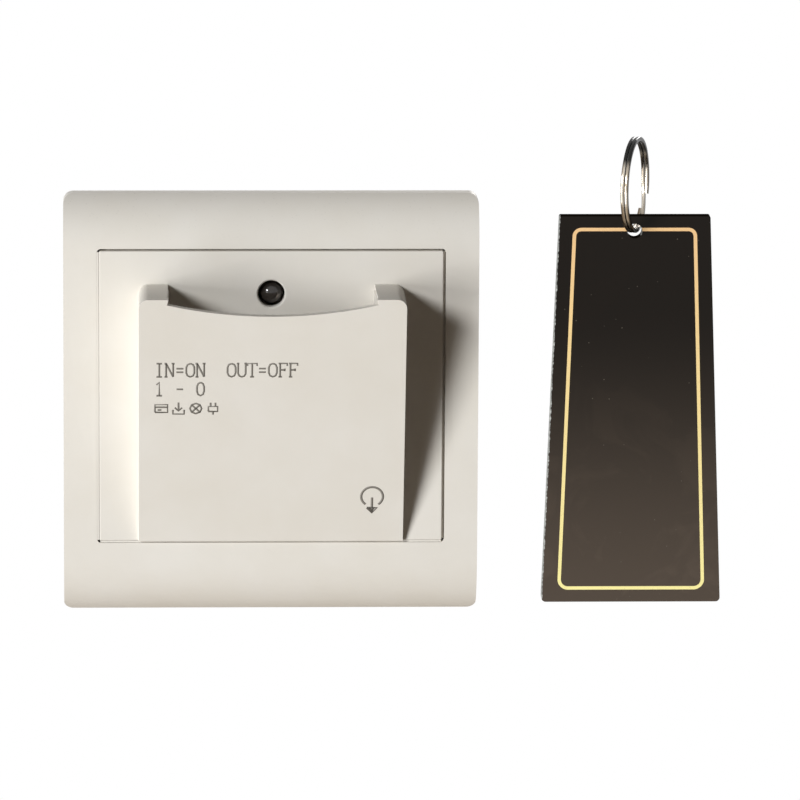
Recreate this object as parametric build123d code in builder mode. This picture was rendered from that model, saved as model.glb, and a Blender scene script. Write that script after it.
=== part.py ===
from build123d import *
import os
from math import asin, atan, cos, degrees, radians, sin

# A hotel key card switch for a standard wall box, with its key tag beside it.
# X points right, Y points into the wall, Z points up.
# The origin is on the wall plane, midway between the two wall screws.

# Frame
frame_width = 86.0
frame_height = 88.0
frame_drop = 2.3
face_depth = 9.3
shell_wall = 1.8
roll_length = 11.6
roll_drop = 6.3
roll_overrun = 0.3
frame_corner = 2.0
seam_gap = 0.45
part_gap = 0.3
overrun = 1.0
frame_leg_width = 8.0
frame_leg_thickness = 1.4
frame_leg_spread = 50.0
frame_leg_gap = 0.6
barb_height = 0.2
leg_end_gap = 0.4
pry_width = 10.0
pry_height = 0.8
pry_depth = 1.5

# Insert panel and its pocket
panel_width = 71.3
panel_height = 61.2
panel_wall = 1.8
panel_corner = 0.4
skirt_wall = 1.2
skirt_gap = 0.5
panel_leg_width = 4.6
panel_leg_thickness = 1.2
panel_leg_inset = 1.6
pocket_width = 55.0
pocket_drop = 7.0
pocket_reach = 17.5
pocket_foot = 0.75
pocket_wall = 2.2
pocket_corner = 2.0
pocket_back_wall = 1.4
slot_width = 42.3
slot_draft = 0.5
slot_play = 0.6
slot_floor = 2.4
lip_step = 1.2
lip_dip = 2.5
core_wall = 1.6

# Key tag and its split ring
tag_foot_width = 37.5
tag_head_width = 31.4
tag_height = 82.0
tag_thickness = 3.0
tag_corner = 0.9
tag_top_corner = 0.4
tag_offset = 75.6
tag_rise = 1.0
border_foot_inset = 3.3
border_head_inset = 2.8
border_inset_top = 2.4
border_inset_bottom = 2.6
border_line = 0.72
border_foot_corner = 2.2
border_head_corner = 1.8
border_depth = 0.15
tag_hole = 3.1
tag_hole_drop = 3.1
ring_diameter = 20.0
ring_turn_width = 0.75
ring_turn_gap = 0.1
ring_wire_height = 0.95
ring_turn = 17.0
ring_end_gap = 0.8
ring_end_angle = 40.0

# Base plate
plate_thickness = 2.2
plate_relief = 2.2
plate_corner = 1.5
mount_spacing = 60.3
mount_hole = 4.5
mount_boss = 7.6
mount_boss_rise = 1.0
led_window_gap = 0.6

# Rear housing and its screws
housing_width = 52.0
housing_height = 54.0
housing_depth = 27.0
housing_wall = 1.8
housing_corner = 2.5
post_diameter = 5.4
post_length = 12.0
post_inset = 3.0
screw_diameter = 2.6
screw_length = 9.0
screw_head = 4.6
screw_head_height = 1.3
screw_core_gap = 0.05
slot_cut_width = 0.7
slot_cut_depth = 0.6
rib_thickness = 1.2
seat_depth = 0.4
seat_clearance = 0.15

# Circuit board
board_setback = 5.5
board_thickness = 1.6
board_gap = 0.3
board_screw_height = 13.5
board_screw_diameter = 2.0
board_screw_length = 7.0
board_screw_head = 3.8
board_screw_head_height = 1.4
board_post_diameter = 5.0
pin_diameter = 0.9
pin_hole_gap = 0.1
pin_tail = 1.0

# Indicator lamp
led_diameter = 5.0
led_hole_gap = 0.25
led_drop = 9.0
led_recess = 0.35
led_length = 8.6
led_flange = 5.8
led_flange_height = 1.0
lead_size = 0.5
lead_spacing = 2.54

# Card lever and the detector switch
pivot_height = -3.0
pivot_depth = 3.7
lever_pin_diameter = 2.0
lever_bore_gap = 0.05
lever_hub_wall = 0.9
lever_hub_width = 9.0
lever_arm_thickness = 1.5
lever_arm_width = 8.0
lever_arm_length = 16.5
nose_width = 5.0
nose_height = 4.4
nose_centre_drop = 12.8
nose_stop_gap = 0.75
nose_tip_radius = 1.0
nose_window_gap = 0.6
lever_travel = 13.0
lug_thickness = 2.0
lug_radius = 2.0
plunger_drop = 3.6
plunger_size = 1.6
plunger_free_gap = 0.2
switch_width = 12.8
switch_height = 5.8
switch_depth = 5.2
switch_wall = 0.7
blade_thickness = 0.3
blade_width = 2.0
blade_pivot_inset = 1.6
blade_reach = 9.0
contact_radius = 0.6
contact_height = 0.4

# Relay
relay_back_gap = 0.6
relay_wall = 1.0
relay_side_gap = 6.7
relay_foot_gap = 2.3
relay_base_height = 2.0
relay_fit = 0.1
contact_room = 14.0
coil_top_gap = 0.9
coil_flange_wall = 1.0
coil_rim = 0.8
coil_tube_wall = 0.6
relay_core_radius = 2.4
yoke_thickness = 1.2
yoke_width = 10.0
pole_clearance = 0.15
armature_thickness = 1.2
armature_width = 9.0
armature_travel = 3.5
contact_blade_thickness = 0.5
contact_blade_width = 4.0
contact_blade_height = 6.5

# Small parts on the board
film_end_gap = 2.46
film_top_gap = 2.6
film_height = 6.0
film_depth = 11.0
can_diameter = 8.0
can_length = 12.0
can_pitch = 9.0
can_side_gap = 3.1
resistor_diameter = 2.3
resistor_length = 6.2
resistor_pitch = 4.0
resistor_count = 4
diode_diameter = 2.4
diode_length = 5.0
diode_count = 4
lead_reach = 2.2
chip_length = 9.4
chip_width = 6.4
chip_height = 3.3
chip_leg_count = 4
chip_leg_pitch = 2.54
varistor_diameter = 9.0
varistor_thickness = 3.6
fuse_diameter = 3.6
fuse_length = 10.0
fuse_cap_length = 2.4

# Terminals
terminal_count = 4
terminal_pitch = 8.6
terminal_block_width = 37.0
terminal_block_height = 11.6
terminal_proud = 0.5
terminal_fit = 0.15
clamp_width = 5.8
clamp_depth = 9.0
clamp_height = 9.6
wire_hole = 3.0
wire_row_drop = 2.6
screw_row_rise = 2.4
terminal_screw_diameter = 3.0
terminal_screw_head = 4.2
terminal_screw_head_height = 1.6
terminal_screw_recess = 2.4
terminal_screw_length = 7.0


def box_between(x0, x1, y0, y1, z0, z1, mode=Mode.ADD):
    # Adds or cuts a box given by its limits along X, Y and Z.
    with Locations(((x0 + x1) / 2, (y0 + y1) / 2, (z0 + z1) / 2)):
        Box(x1 - x0, y1 - y0, z1 - z0, mode=mode)


def rod_along_y(x, z, radius, y0, y1, mode=Mode.ADD):
    with Locations(Location((x, (y0 + y1) / 2, z), (90, 0, 0))):
        Cylinder(radius, y1 - y0, mode=mode)


def rod_along_x(y, z, radius, x0, x1, mode=Mode.ADD):
    with Locations(Location(((x0 + x1) / 2, y, z), (0, 90, 0))):
        Cylinder(radius, x1 - x0, mode=mode)


def rod_along_z(x, y, radius, z0, z1, mode=Mode.ADD):
    with Locations((x, y, (z0 + z1) / 2)):
        Cylinder(radius, z1 - z0, mode=mode)


def rolled_profile(depth, half_height, centre):
    # Side view of the frame: flat in front, rolling back towards its top and bottom edges.
    # The roll runs a little past those edges, which the frame's outline then cuts.
    roll_start = half_height - roll_length
    radius = (roll_length**2 + roll_drop**2) / (2 * roll_drop)
    end_height = half_height + roll_overrun
    end_turn = asin((end_height - roll_start) / radius)
    end_depth = depth - radius * (1 - cos(end_turn))
    middle_depth = depth - radius * (1 - cos(end_turn / 2))
    middle_height = roll_start + radius * sin(end_turn / 2)
    with BuildSketch(Plane.YZ.shift_origin((0, 0, centre))) as profile:
        with BuildLine():
            Line((0, -end_height), (0, end_height))
            Line((0, end_height), (-end_depth, end_height))
            ThreePointArc((-end_depth, end_height), (-middle_depth, middle_height), (-depth, roll_start))
            Line((-depth, roll_start), (-depth, -roll_start))
            ThreePointArc((-depth, -roll_start), (-middle_depth, -middle_height), (-end_depth, -end_height))
            Line((-end_depth, -end_height), (0, -end_height))
        make_face()
    return profile.sketch


def save(builder, name):
    builder.part.label = name
    export_step(builder.part, "parts/" + name + ".step")


os.makedirs("parts", exist_ok=True)

# Places worked out from the sizes above
window_width = panel_width + 2 * seam_gap
window_height = panel_height + 2 * seam_gap
return_end = plate_thickness + skirt_gap
panel_back = -(face_depth - panel_wall)
panel_half_height = panel_height / 2
pocket_top = panel_half_height - pocket_drop
pocket_bottom = -panel_half_height
pocket_length = pocket_top - pocket_bottom
lean = atan((pocket_reach - pocket_foot) / pocket_length)
slot_bottom = pocket_bottom + slot_floor
slot_depth = tag_thickness + slot_play
led_height = panel_half_height - led_drop
plate_front = -plate_thickness
plate_width = frame_width - 2 * (shell_wall + part_gap)
plate_height = frame_height - 2 * (shell_wall + plate_relief)
frame_centre = -frame_drop
frame_leg_height = (
    window_height / 2 + skirt_wall + frame_drop + frame_leg_gap + frame_leg_thickness / 2
)
panel_leg_x = (pocket_width + panel_width) / 4 + skirt_wall / 4
panel_leg_z = panel_half_height - skirt_wall - panel_leg_inset
board_front = board_setback
board_back = board_setback + board_thickness
housing_floor = housing_depth - housing_wall
post_x = housing_width / 2 - housing_wall - post_inset
post_z = housing_height / 2 - housing_wall - post_inset
pivot_y = -pivot_depth
hub_radius = lever_pin_diameter / 2 + lever_hub_wall
plunger_z = pivot_height - plunger_drop


def front_line(z):
    # Depth of the pocket's front face at height z.
    return -(face_depth + pocket_foot + (pocket_reach - pocket_foot) * (z - pocket_bottom) / pocket_length)


def inner_line(z):
    # Depth of the front wall's inner face.
    return front_line(z) + pocket_wall / cos(lean)


def back_line(z):
    # Depth of the sloping wall behind the card slot.
    return inner_line(z) + slot_depth / cos(lean)


def rear_line(z):
    # Depth of that wall's hidden side.
    return back_line(z) + pocket_back_wall / cos(lean)


# Lever nose: how far it reaches into the slot, and the room it needs as it swings down
nose_centre = pivot_height - nose_centre_drop
nose_low = nose_centre - nose_height / 2
nose_high = nose_centre + nose_height / 2
nose_tip = inner_line(nose_centre) + nose_stop_gap
nose_swing = (pivot_y - nose_tip) * sin(radians(lever_travel))

rise_per_depth = pocket_length / (pocket_reach - pocket_foot)
knee_height = pocket_bottom + (face_depth + back_line(pocket_bottom)) * rise_per_depth
rear_knee_height = pocket_bottom + (rear_line(pocket_bottom) - panel_back) * rise_per_depth

# Hollow of the frame, behind its skin and round the window's wall
with BuildPart() as frame_hollow:
    hollow_profile = rolled_profile(face_depth - shell_wall, frame_height / 2 - shell_wall, frame_centre)
    extrude(hollow_profile, amount=frame_width / 2 - shell_wall, both=True)
    with BuildSketch(Plane.XZ):
        with Locations((0, frame_centre)):
            RectangleRounded(
                frame_width - 2 * shell_wall, frame_height - 2 * shell_wall, frame_corner - shell_wall,
            )
    extrude(amount=face_depth, mode=Mode.INTERSECT)
    with BuildSketch(Plane.XZ.offset(return_end)):
        Rectangle(window_width + 2 * skirt_wall, window_height + 2 * skirt_wall)
    extrude(amount=face_depth, mode=Mode.SUBTRACT)

# Outer frame: the rolled surround that clips on last
with BuildPart() as outer_frame:
    extrude(rolled_profile(face_depth, frame_height / 2, frame_centre), amount=frame_width / 2, both=True)
    with BuildSketch(Plane.XZ):
        with Locations((0, frame_centre)):
            RectangleRounded(frame_width, frame_height, frame_corner)
    extrude(amount=face_depth, mode=Mode.INTERSECT)
    add(frame_hollow.part, mode=Mode.SUBTRACT)
    with BuildSketch(Plane.XZ.offset(-overrun)):
        RectangleRounded(window_width, window_height, panel_corner + seam_gap)
    extrude(amount=face_depth + 2 * overrun, mode=Mode.SUBTRACT)
    with BuildSketch(Plane.XZ.offset(-overrun)):
        Rectangle(window_width + 2 * skirt_wall, window_height + 2 * skirt_wall)
    extrude(amount=return_end + overrun, mode=Mode.SUBTRACT)
    for side in (-1, 1):
        for end in (-1, 1):
            leg_x = side * frame_leg_spread / 2
            leg_z = frame_centre + end * frame_leg_height
            leg_low = min(leg_z - frame_leg_thickness / 2, leg_z + frame_leg_thickness / 2)
            box_between(
                leg_x - frame_leg_width / 2, leg_x + frame_leg_width / 2,
                -(face_depth - shell_wall), -leg_end_gap,
                leg_low, leg_low + frame_leg_thickness,
            )
            barb_z = leg_z + end * frame_leg_thickness / 2
            box_between(
                leg_x - frame_leg_width / 2, leg_x + frame_leg_width / 2,
                -plate_thickness / 2, -leg_end_gap,
                min(barb_z, barb_z + end * barb_height), max(barb_z, barb_z + end * barb_height),
            )
    box_between(
        -pry_width / 2, pry_width / 2, -pry_depth, overrun,
        frame_centre - frame_height / 2 - overrun, frame_centre - frame_height / 2 + pry_height,
        Mode.SUBTRACT,
    )
    save(outer_frame, "outer_frame")

# Space inside the pocket, open at the top and drafted towards the front
with BuildPart() as slot_space:
    with BuildSketch(Plane.YZ):
        with BuildLine():
            Polyline(
                (inner_line(pocket_top + overrun), pocket_top + overrun),
                (inner_line(slot_bottom), slot_bottom),
                (back_line(slot_bottom), slot_bottom),
                (-face_depth, knee_height),
                (-face_depth, pocket_top + overrun),
                close=True,
            )
        make_face()
    extrude(amount=pocket_width / 2, both=True)
    with BuildSketch(Plane.XY.offset(slot_bottom)):
        with BuildLine():
            Polyline(
                (-slot_width / 2, 0),
                (-slot_width / 2, -face_depth),
                (-slot_width / 2 - slot_draft, -face_depth - pocket_reach),
                (slot_width / 2 + slot_draft, -face_depth - pocket_reach),
                (slot_width / 2, -face_depth),
                (slot_width / 2, 0),
                close=True,
            )
        make_face()
    extrude(amount=pocket_length + overrun, mode=Mode.INTERSECT)

# Hollows moulded into the pocket's thick side walls from behind
core_width = (pocket_width - slot_width) / 2 - slot_draft - 2 * core_wall
with BuildPart() as side_cores:
    for side in (-1, 1):
        core_x = side * (pocket_width / 2 - core_wall - core_width / 2)
        with BuildSketch(Plane.YZ.offset(core_x)):
            with BuildLine():
                Polyline(
                    (inner_line(pocket_top - core_wall), pocket_top - core_wall),
                    (inner_line(pocket_bottom + slot_floor), pocket_bottom + slot_floor),
                    (0, pocket_bottom + slot_floor),
                    (0, pocket_top - core_wall),
                    close=True,
                )
            make_face()
        extrude(amount=core_width / 2, both=True)

# Front panel: flat insert with the wedge-shaped card pocket moulded on it
with BuildPart() as front_panel:
    with BuildSketch(Plane.XZ.offset(return_end)):
        RectangleRounded(panel_width, panel_height, panel_corner)
    extrude(amount=face_depth - return_end)
    with BuildSketch(Plane.XZ.offset(return_end)):
        Rectangle(panel_width - 2 * skirt_wall, panel_height - 2 * skirt_wall)
    extrude(amount=face_depth - return_end - panel_wall, mode=Mode.SUBTRACT)
    with BuildSketch(Plane.YZ):
        with BuildLine():
            Polyline(
                (front_line(pocket_top), pocket_top),
                (panel_back, pocket_top),
                (panel_back, rear_knee_height),
                (rear_line(pocket_bottom), pocket_bottom),
                (front_line(pocket_bottom), pocket_bottom),
                close=True,
            )
        make_face()
    extrude(amount=pocket_width / 2, both=True)
    top_corners = (
        front_panel.edges()
        .filter_by(Axis.Y)
        .filter_by(lambda e: abs(abs(e.center().X) - pocket_width / 2) < seam_gap)
        .filter_by(lambda e: abs(e.center().Z - pocket_top) < seam_gap)
        .filter_by(lambda e: e.center().Y < -face_depth)
    )
    fillet(top_corners, pocket_corner)
    add(slot_space.part, mode=Mode.SUBTRACT)
    add(side_cores.part, mode=Mode.SUBTRACT)
    lip_edge = slot_width / 2 + slot_draft
    with BuildSketch(Plane.XZ.offset(face_depth)):
        with BuildLine():
            ThreePointArc(
                (-lip_edge, pocket_top - lip_step),
                (0, pocket_top - lip_step - lip_dip),
                (lip_edge, pocket_top - lip_step),
            )
            Polyline(
                (lip_edge, pocket_top - lip_step),
                (lip_edge - slot_draft, pocket_top + overrun),
                (-lip_edge + slot_draft, pocket_top + overrun),
                (-lip_edge, pocket_top - lip_step),
            )
        make_face()
    extrude(amount=pocket_reach + overrun, mode=Mode.SUBTRACT)
    rod_along_y(
        0, led_height, led_diameter / 2 + led_hole_gap,
        -face_depth - overrun, panel_back + overrun, Mode.SUBTRACT,
    )
    box_between(
        -nose_width / 2 - nose_window_gap, nose_width / 2 + nose_window_gap,
        back_line(nose_high) - pocket_back_wall, 0,
        nose_low - nose_swing - nose_window_gap, nose_high + nose_window_gap, Mode.SUBTRACT,
    )
    for side in (-1, 1):
        for end in (-1, 1):
            leg_x = side * panel_leg_x
            leg_z = end * panel_leg_z
            box_between(
                leg_x - panel_leg_width / 2, leg_x + panel_leg_width / 2, panel_back, -leg_end_gap,
                leg_z - panel_leg_thickness / 2, leg_z + panel_leg_thickness / 2,
            )
            barb_z = leg_z - end * panel_leg_thickness / 2
            box_between(
                leg_x - panel_leg_width / 2, leg_x + panel_leg_width / 2, plate_front / 2, -leg_end_gap,
                min(barb_z, barb_z - end * barb_height), max(barb_z, barb_z - end * barb_height),
            )
    save(front_panel, "front_panel")

# Base plate: lies on the wall, carries the housing, the lever and both covers
lug_x = lever_hub_width / 2 + part_gap
lever_window_low = pivot_height - lever_arm_length - part_gap * 2
lever_window_high = pivot_height + hub_radius + part_gap
with BuildPart() as base_plate:
    with BuildSketch(Plane.XZ):
        with Locations((0, frame_centre)):
            RectangleRounded(plate_width, plate_height, plate_corner)
    extrude(amount=plate_thickness)
    for side in (-1, 1):
        rod_along_y(
            side * mount_spacing / 2, 0, mount_boss / 2, plate_front - mount_boss_rise, plate_front,
        )
    for side in (-1, 1):
        lug_low_x = min(side * lug_x, side * (lug_x + lug_thickness))
        box_between(
            lug_low_x, lug_low_x + lug_thickness, pivot_y, plate_front,
            pivot_height - lug_radius, pivot_height + lug_radius,
        )
        rod_along_x(pivot_y, pivot_height, lug_radius, lug_low_x, lug_low_x + lug_thickness)
        rod_along_x(
            pivot_y, pivot_height, lever_pin_diameter / 2,
            lug_low_x, lug_low_x + lug_thickness, Mode.SUBTRACT,
        )
        rod_along_y(
            side * mount_spacing / 2, 0, mount_hole / 2,
            plate_front - mount_boss_rise - overrun, overrun, Mode.SUBTRACT,
        )
        for end in (-1, 1):
            leg_x = side * frame_leg_spread / 2
            leg_z = frame_centre + end * frame_leg_height
            box_between(
                leg_x - frame_leg_width / 2 - part_gap, leg_x + frame_leg_width / 2 + part_gap,
                plate_front - overrun, overrun,
                leg_z - frame_leg_thickness / 2 - part_gap - barb_height,
                leg_z + frame_leg_thickness / 2 + part_gap + barb_height, Mode.SUBTRACT,
            )
            leg_x = side * panel_leg_x
            leg_z = end * panel_leg_z
            box_between(
                leg_x - panel_leg_width / 2 - part_gap, leg_x + panel_leg_width / 2 + part_gap,
                plate_front - overrun, overrun,
                leg_z - panel_leg_thickness / 2 - part_gap - barb_height,
                leg_z + panel_leg_thickness / 2 + part_gap + barb_height, Mode.SUBTRACT,
            )
            rod_along_y(
                side * post_x, end * post_z, screw_diameter / 2 + part_gap, plate_front - overrun, overrun,
                Mode.SUBTRACT,
            )
            rod_along_y(
                side * post_x, end * post_z, screw_head / 2 + part_gap / 2,
                plate_front - overrun, plate_front + screw_head_height, Mode.SUBTRACT,
            )
    box_between(
        -lug_x, lug_x, plate_front - overrun, overrun,
        lever_window_low, lever_window_high, Mode.SUBTRACT,
    )
    rod_along_y(
        0, led_height, led_flange / 2 + led_window_gap / 2, plate_front - overrun, overrun, Mode.SUBTRACT,
    )
    with BuildSketch(Plane.XZ.offset(seat_depth)):
        RectangleRounded(
            housing_width + 2 * seat_clearance,
            housing_height + 2 * seat_clearance, housing_corner + seat_clearance,
        )
    extrude(amount=-(seat_depth + overrun), mode=Mode.SUBTRACT)
    save(base_plate, "base_plate")

# Terminal places, shared by the housing, the block, the clamps and the screws
terminal_x = [terminal_pitch * (n - (terminal_count - 1) / 2) for n in range(terminal_count)]
terminal_z = -(housing_height / 2 - housing_wall - board_gap - terminal_block_height / 2 - post_inset)
terminal_end = housing_depth + terminal_proud
screw_row = terminal_z + screw_row_rise
wire_row = terminal_z - wire_row_drop

# Rear housing: box behind the wall plane that holds the circuit
with BuildPart() as rear_housing:
    with BuildSketch(Plane.XZ.offset(seat_depth)):
        RectangleRounded(housing_width, housing_height, housing_corner)
    extrude(amount=-(housing_depth + seat_depth))
    with BuildSketch(Plane.XZ.offset(seat_depth)):
        RectangleRounded(
            housing_width - 2 * housing_wall,
            housing_height - 2 * housing_wall, housing_corner - housing_wall,
        )
    extrude(amount=-(housing_floor + seat_depth), mode=Mode.SUBTRACT)
    for side in (-1, 1):
        for end in (-1, 1):
            rod_along_y(side * post_x, end * post_z, post_diameter / 2, -seat_depth, post_length)
            box_between(
                min(side * post_x, side * (housing_width - housing_wall) / 2),
                max(side * post_x, side * (housing_width - housing_wall) / 2),
                -seat_depth, post_length, end * post_z - rib_thickness / 2,
                end * post_z + rib_thickness / 2,
            )
            rod_along_y(
                side * post_x, end * post_z, screw_diameter / 2 + screw_core_gap,
                -overrun, screw_length + overrun, Mode.SUBTRACT,
            )
        board_post_x = side * (post_x - part_gap / 2)
        rod_along_y(board_post_x, board_screw_height, board_post_diameter / 2, board_back, housing_floor)
        rod_along_y(
            board_post_x, board_screw_height, board_screw_diameter / 2 + screw_core_gap,
            board_back - overrun, board_front + board_screw_length + overrun, Mode.SUBTRACT,
        )
    box_between(
        -terminal_block_width / 2 - terminal_fit, terminal_block_width / 2 + terminal_fit,
        housing_floor - overrun, housing_depth + overrun,
        terminal_z - terminal_block_height / 2 - terminal_fit,
        terminal_z + terminal_block_height / 2 + terminal_fit, Mode.SUBTRACT,
    )
    save(rear_housing, "rear_housing")

# Screws that hold the housing to the base plate
with BuildPart() as housing_screws:
    for side in (-1, 1):
        for end in (-1, 1):
            rod_along_y(
                side * post_x, end * post_z, screw_head / 2, plate_front, plate_front + screw_head_height,
            )
            rod_along_y(
                side * post_x, end * post_z, screw_diameter / 2,
                plate_front + screw_head_height, screw_length,
            )
            for turn in (0, 90):
                cut_place = (side * post_x, plate_front + slot_cut_depth / 2, end * post_z)
                with Locations(Location(cut_place, (0, turn, 0))):
                    Box(screw_head - slot_cut_width, slot_cut_depth, slot_cut_width, mode=Mode.SUBTRACT)
    save(housing_screws, "housing_screws")

# Circuit board
board_width = housing_width - 2 * (housing_wall + board_gap)
board_height = housing_height - 2 * (housing_wall + board_gap)
board_notch = post_inset + post_diameter / 2 + board_gap
inner_right = housing_width / 2 - housing_wall
inner_top = housing_height / 2 - housing_wall
can_x = inner_right - can_side_gap - can_diameter / 2
relay_left = relay_side_gap - inner_right
relay_right = can_x - can_diameter / 2 - part_gap * 2
relay_low = terminal_z + terminal_block_height / 2 + relay_foot_gap
relay_high = inner_top - film_top_gap - film_height - part_gap * 2
relay_width = relay_right - relay_left
relay_height = relay_high - relay_low
relay_x = (relay_left + relay_right) / 2
relay_rise = (relay_low + relay_high) / 2
relay_depth = housing_floor - board_back - relay_back_gap
coil_length = relay_width - contact_room
coil_flange = relay_depth - relay_base_height - relay_wall - yoke_thickness - coil_top_gap
coil_radius = coil_flange / 2 - coil_rim
relay_pin_x = [relay_x - relay_width / 3, relay_x + relay_width / 3]
relay_pin_z = [relay_rise - relay_height / 4, relay_rise + relay_height / 4]
with BuildPart() as circuit_board:
    with BuildSketch(Plane.XZ.offset(-board_back)):
        Rectangle(board_width, board_height)
        for side in (-1, 1):
            for end in (-1, 1):
                with Locations((side * board_width / 2, end * board_height / 2)):
                    Rectangle(2 * board_notch, 2 * board_notch, mode=Mode.SUBTRACT)
        with Locations(*[(side * (post_x - part_gap / 2), board_screw_height) for side in (-1, 1)]):
            Circle(board_screw_diameter / 2 + part_gap / 2, mode=Mode.SUBTRACT)
        with Locations(*[(side * lead_spacing / 2, led_height) for side in (-1, 1)]):
            Circle(lead_size / 2 + pin_hole_gap, mode=Mode.SUBTRACT)
        with Locations(*[(x, z) for x in relay_pin_x for z in relay_pin_z]):
            Circle(pin_diameter / 2 + pin_hole_gap, mode=Mode.SUBTRACT)
    extrude(amount=board_thickness)
    save(circuit_board, "circuit_board")

# Screws that hold the board to the housing
with BuildPart() as board_screws:
    for side in (-1, 1):
        screw_x = side * (post_x - part_gap / 2)
        rod_along_y(
            screw_x, board_screw_height, board_screw_head / 2,
            board_front - board_screw_head_height, board_front,
        )
        rod_along_y(
            screw_x, board_screw_height, board_screw_diameter / 2,
            board_front, board_front + board_screw_length,
        )
        box_between(
            screw_x - board_screw_head / 2 + slot_cut_width,
            screw_x + board_screw_head / 2 - slot_cut_width,
            board_front - board_screw_head_height, board_front - board_screw_head_height + slot_cut_depth,
            board_screw_height - slot_cut_width / 2, board_screw_height + slot_cut_width / 2, Mode.SUBTRACT,
        )
    save(board_screws, "board_screws")

# Indicator lamp, recessed in its hole in the panel
led_tip = -(face_depth - led_recess)
led_end = led_tip + led_length
with BuildPart() as led_lamp:
    rod_along_y(0, led_height, led_diameter / 2, led_tip + led_diameter / 2, led_end)
    with Locations((0, led_tip + led_diameter / 2, led_height)):
        Sphere(led_diameter / 2)
    rod_along_y(0, led_height, led_flange / 2, led_end - led_flange_height, led_end)
    save(led_lamp, "led_lamp")

with BuildPart() as led_leads:
    for side in (-1, 1):
        rod_along_y(side * lead_spacing / 2, led_height, lead_size / 2, led_end, board_back + pin_tail)
    save(led_leads, "led_leads")

# Card lever: the tag pushes its nose back out of the slot
arm_back = pivot_y + lever_arm_thickness / 2
arm_end = pivot_height - lever_arm_length
with BuildPart() as card_lever:
    rod_along_x(pivot_y, pivot_height, hub_radius, -lever_hub_width / 2, lever_hub_width / 2)
    box_between(
        -lever_arm_width / 2, lever_arm_width / 2, pivot_y - lever_arm_thickness / 2, arm_back,
        arm_end, pivot_height,
    )
    with BuildSketch(Plane.YZ):
        with BuildLine():
            Polyline(
                (pivot_y, nose_high),
                (nose_tip + nose_height / 2, nose_high),
                (nose_tip, nose_centre),
                (nose_tip + nose_height / 3, nose_low),
                (pivot_y, nose_low),
                close=True,
            )
        make_face()
        tip_corner = vertices().sort_by(Axis.X)[0]
        fillet(tip_corner, nose_tip_radius)
    extrude(amount=nose_width / 2, both=True)
    rod_along_x(
        pivot_y, pivot_height, lever_pin_diameter / 2 + lever_bore_gap,
        -lever_hub_width / 2 - overrun, lever_hub_width / 2 + overrun, Mode.SUBTRACT,
    )
    save(card_lever, "card_lever")

with BuildPart() as lever_pin:
    rod_along_x(
        pivot_y, pivot_height, lever_pin_diameter / 2, -lug_x - lug_thickness, lug_x + lug_thickness,
    )
    save(lever_pin, "lever_pin")

# Detector switch under the lever's arm
switch_front = board_front - switch_depth
plunger_tip = arm_back + plunger_free_gap
blade_level = switch_front + switch_wall + part_gap
blade_pivot_x = -switch_width / 2 + blade_pivot_inset
with BuildPart() as switch_case:
    box_between(
        -switch_width / 2, switch_width / 2, switch_front, board_front,
        plunger_z - switch_height / 2, plunger_z + switch_height / 2,
    )
    box_between(
        -switch_width / 2 + switch_wall, switch_width / 2 - switch_wall,
        switch_front + switch_wall, board_front - switch_wall,
        plunger_z - switch_height / 2 + switch_wall,
        plunger_z + switch_height / 2 - switch_wall, Mode.SUBTRACT,
    )
    box_between(
        -plunger_size / 2 - part_gap, plunger_size / 2 + part_gap, switch_front - overrun,
        switch_front + switch_wall + overrun / 2,
        plunger_z - plunger_size / 2 - part_gap, plunger_z + plunger_size / 2 + part_gap, Mode.SUBTRACT,
    )
    rod_along_z(
        blade_pivot_x, blade_level + blade_thickness / 2, contact_radius,
        plunger_z - switch_height / 2 + switch_wall / 2, plunger_z - blade_width / 2 - part_gap,
    )
    rod_along_z(
        blade_pivot_x, blade_level + blade_thickness / 2, contact_radius,
        plunger_z + blade_width / 2 + part_gap, plunger_z + switch_height / 2 - switch_wall / 2,
    )
    save(switch_case, "switch_case")

with BuildPart() as switch_plunger:
    box_between(
        -plunger_size / 2, plunger_size / 2, plunger_tip, blade_level - part_gap / 2,
        plunger_z - plunger_size / 2, plunger_z + plunger_size / 2,
    )
    save(switch_plunger, "switch_plunger")

with BuildPart() as switch_blade:
    box_between(
        blade_pivot_x - contact_radius, blade_pivot_x + blade_reach,
        blade_level, blade_level + blade_thickness,
        plunger_z - blade_width / 2, plunger_z + blade_width / 2,
    )
    rod_along_y(
        blade_pivot_x + blade_reach - contact_radius, plunger_z, contact_radius,
        blade_level + blade_thickness, blade_level + blade_thickness + contact_height,
    )
    save(switch_blade, "switch_blade")

with BuildPart() as switch_contacts:
    contact_x = blade_pivot_x + blade_reach - contact_radius
    contact_back = board_front - switch_wall
    rod_along_y(contact_x, plunger_z, contact_radius, contact_back - contact_height, contact_back)
    save(switch_contacts, "switch_contacts")

# Relay on the back of the board
relay_end = board_back + relay_depth
relay_floor = board_back + relay_base_height
with BuildPart() as relay_case:
    box_between(relay_left, relay_right, board_back, relay_end, relay_low, relay_high)
    fillet(relay_case.edges().filter_by(Axis.Y), relay_wall)
    box_between(
        relay_left + relay_wall, relay_right - relay_wall, board_back - overrun, relay_end - relay_wall,
        relay_low + relay_wall, relay_high - relay_wall, Mode.SUBTRACT,
    )
    save(relay_case, "relay_case")

with BuildPart() as relay_base:
    box_between(
        relay_left + relay_wall + relay_fit, relay_right - relay_wall - relay_fit, board_back, relay_floor,
        relay_low + relay_wall + relay_fit, relay_high - relay_wall - relay_fit,
    )
    for x in relay_pin_x:
        for z in relay_pin_z:
            rod_along_y(x, z, pin_diameter / 2, board_back - overrun, relay_floor + overrun, Mode.SUBTRACT)
    save(relay_base, "relay_base")

with BuildPart() as relay_pins:
    for x in relay_pin_x:
        for z in relay_pin_z:
            rod_along_y(x, z, pin_diameter / 2, board_front - pin_tail, relay_floor)
    save(relay_pins, "relay_pins")

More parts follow.
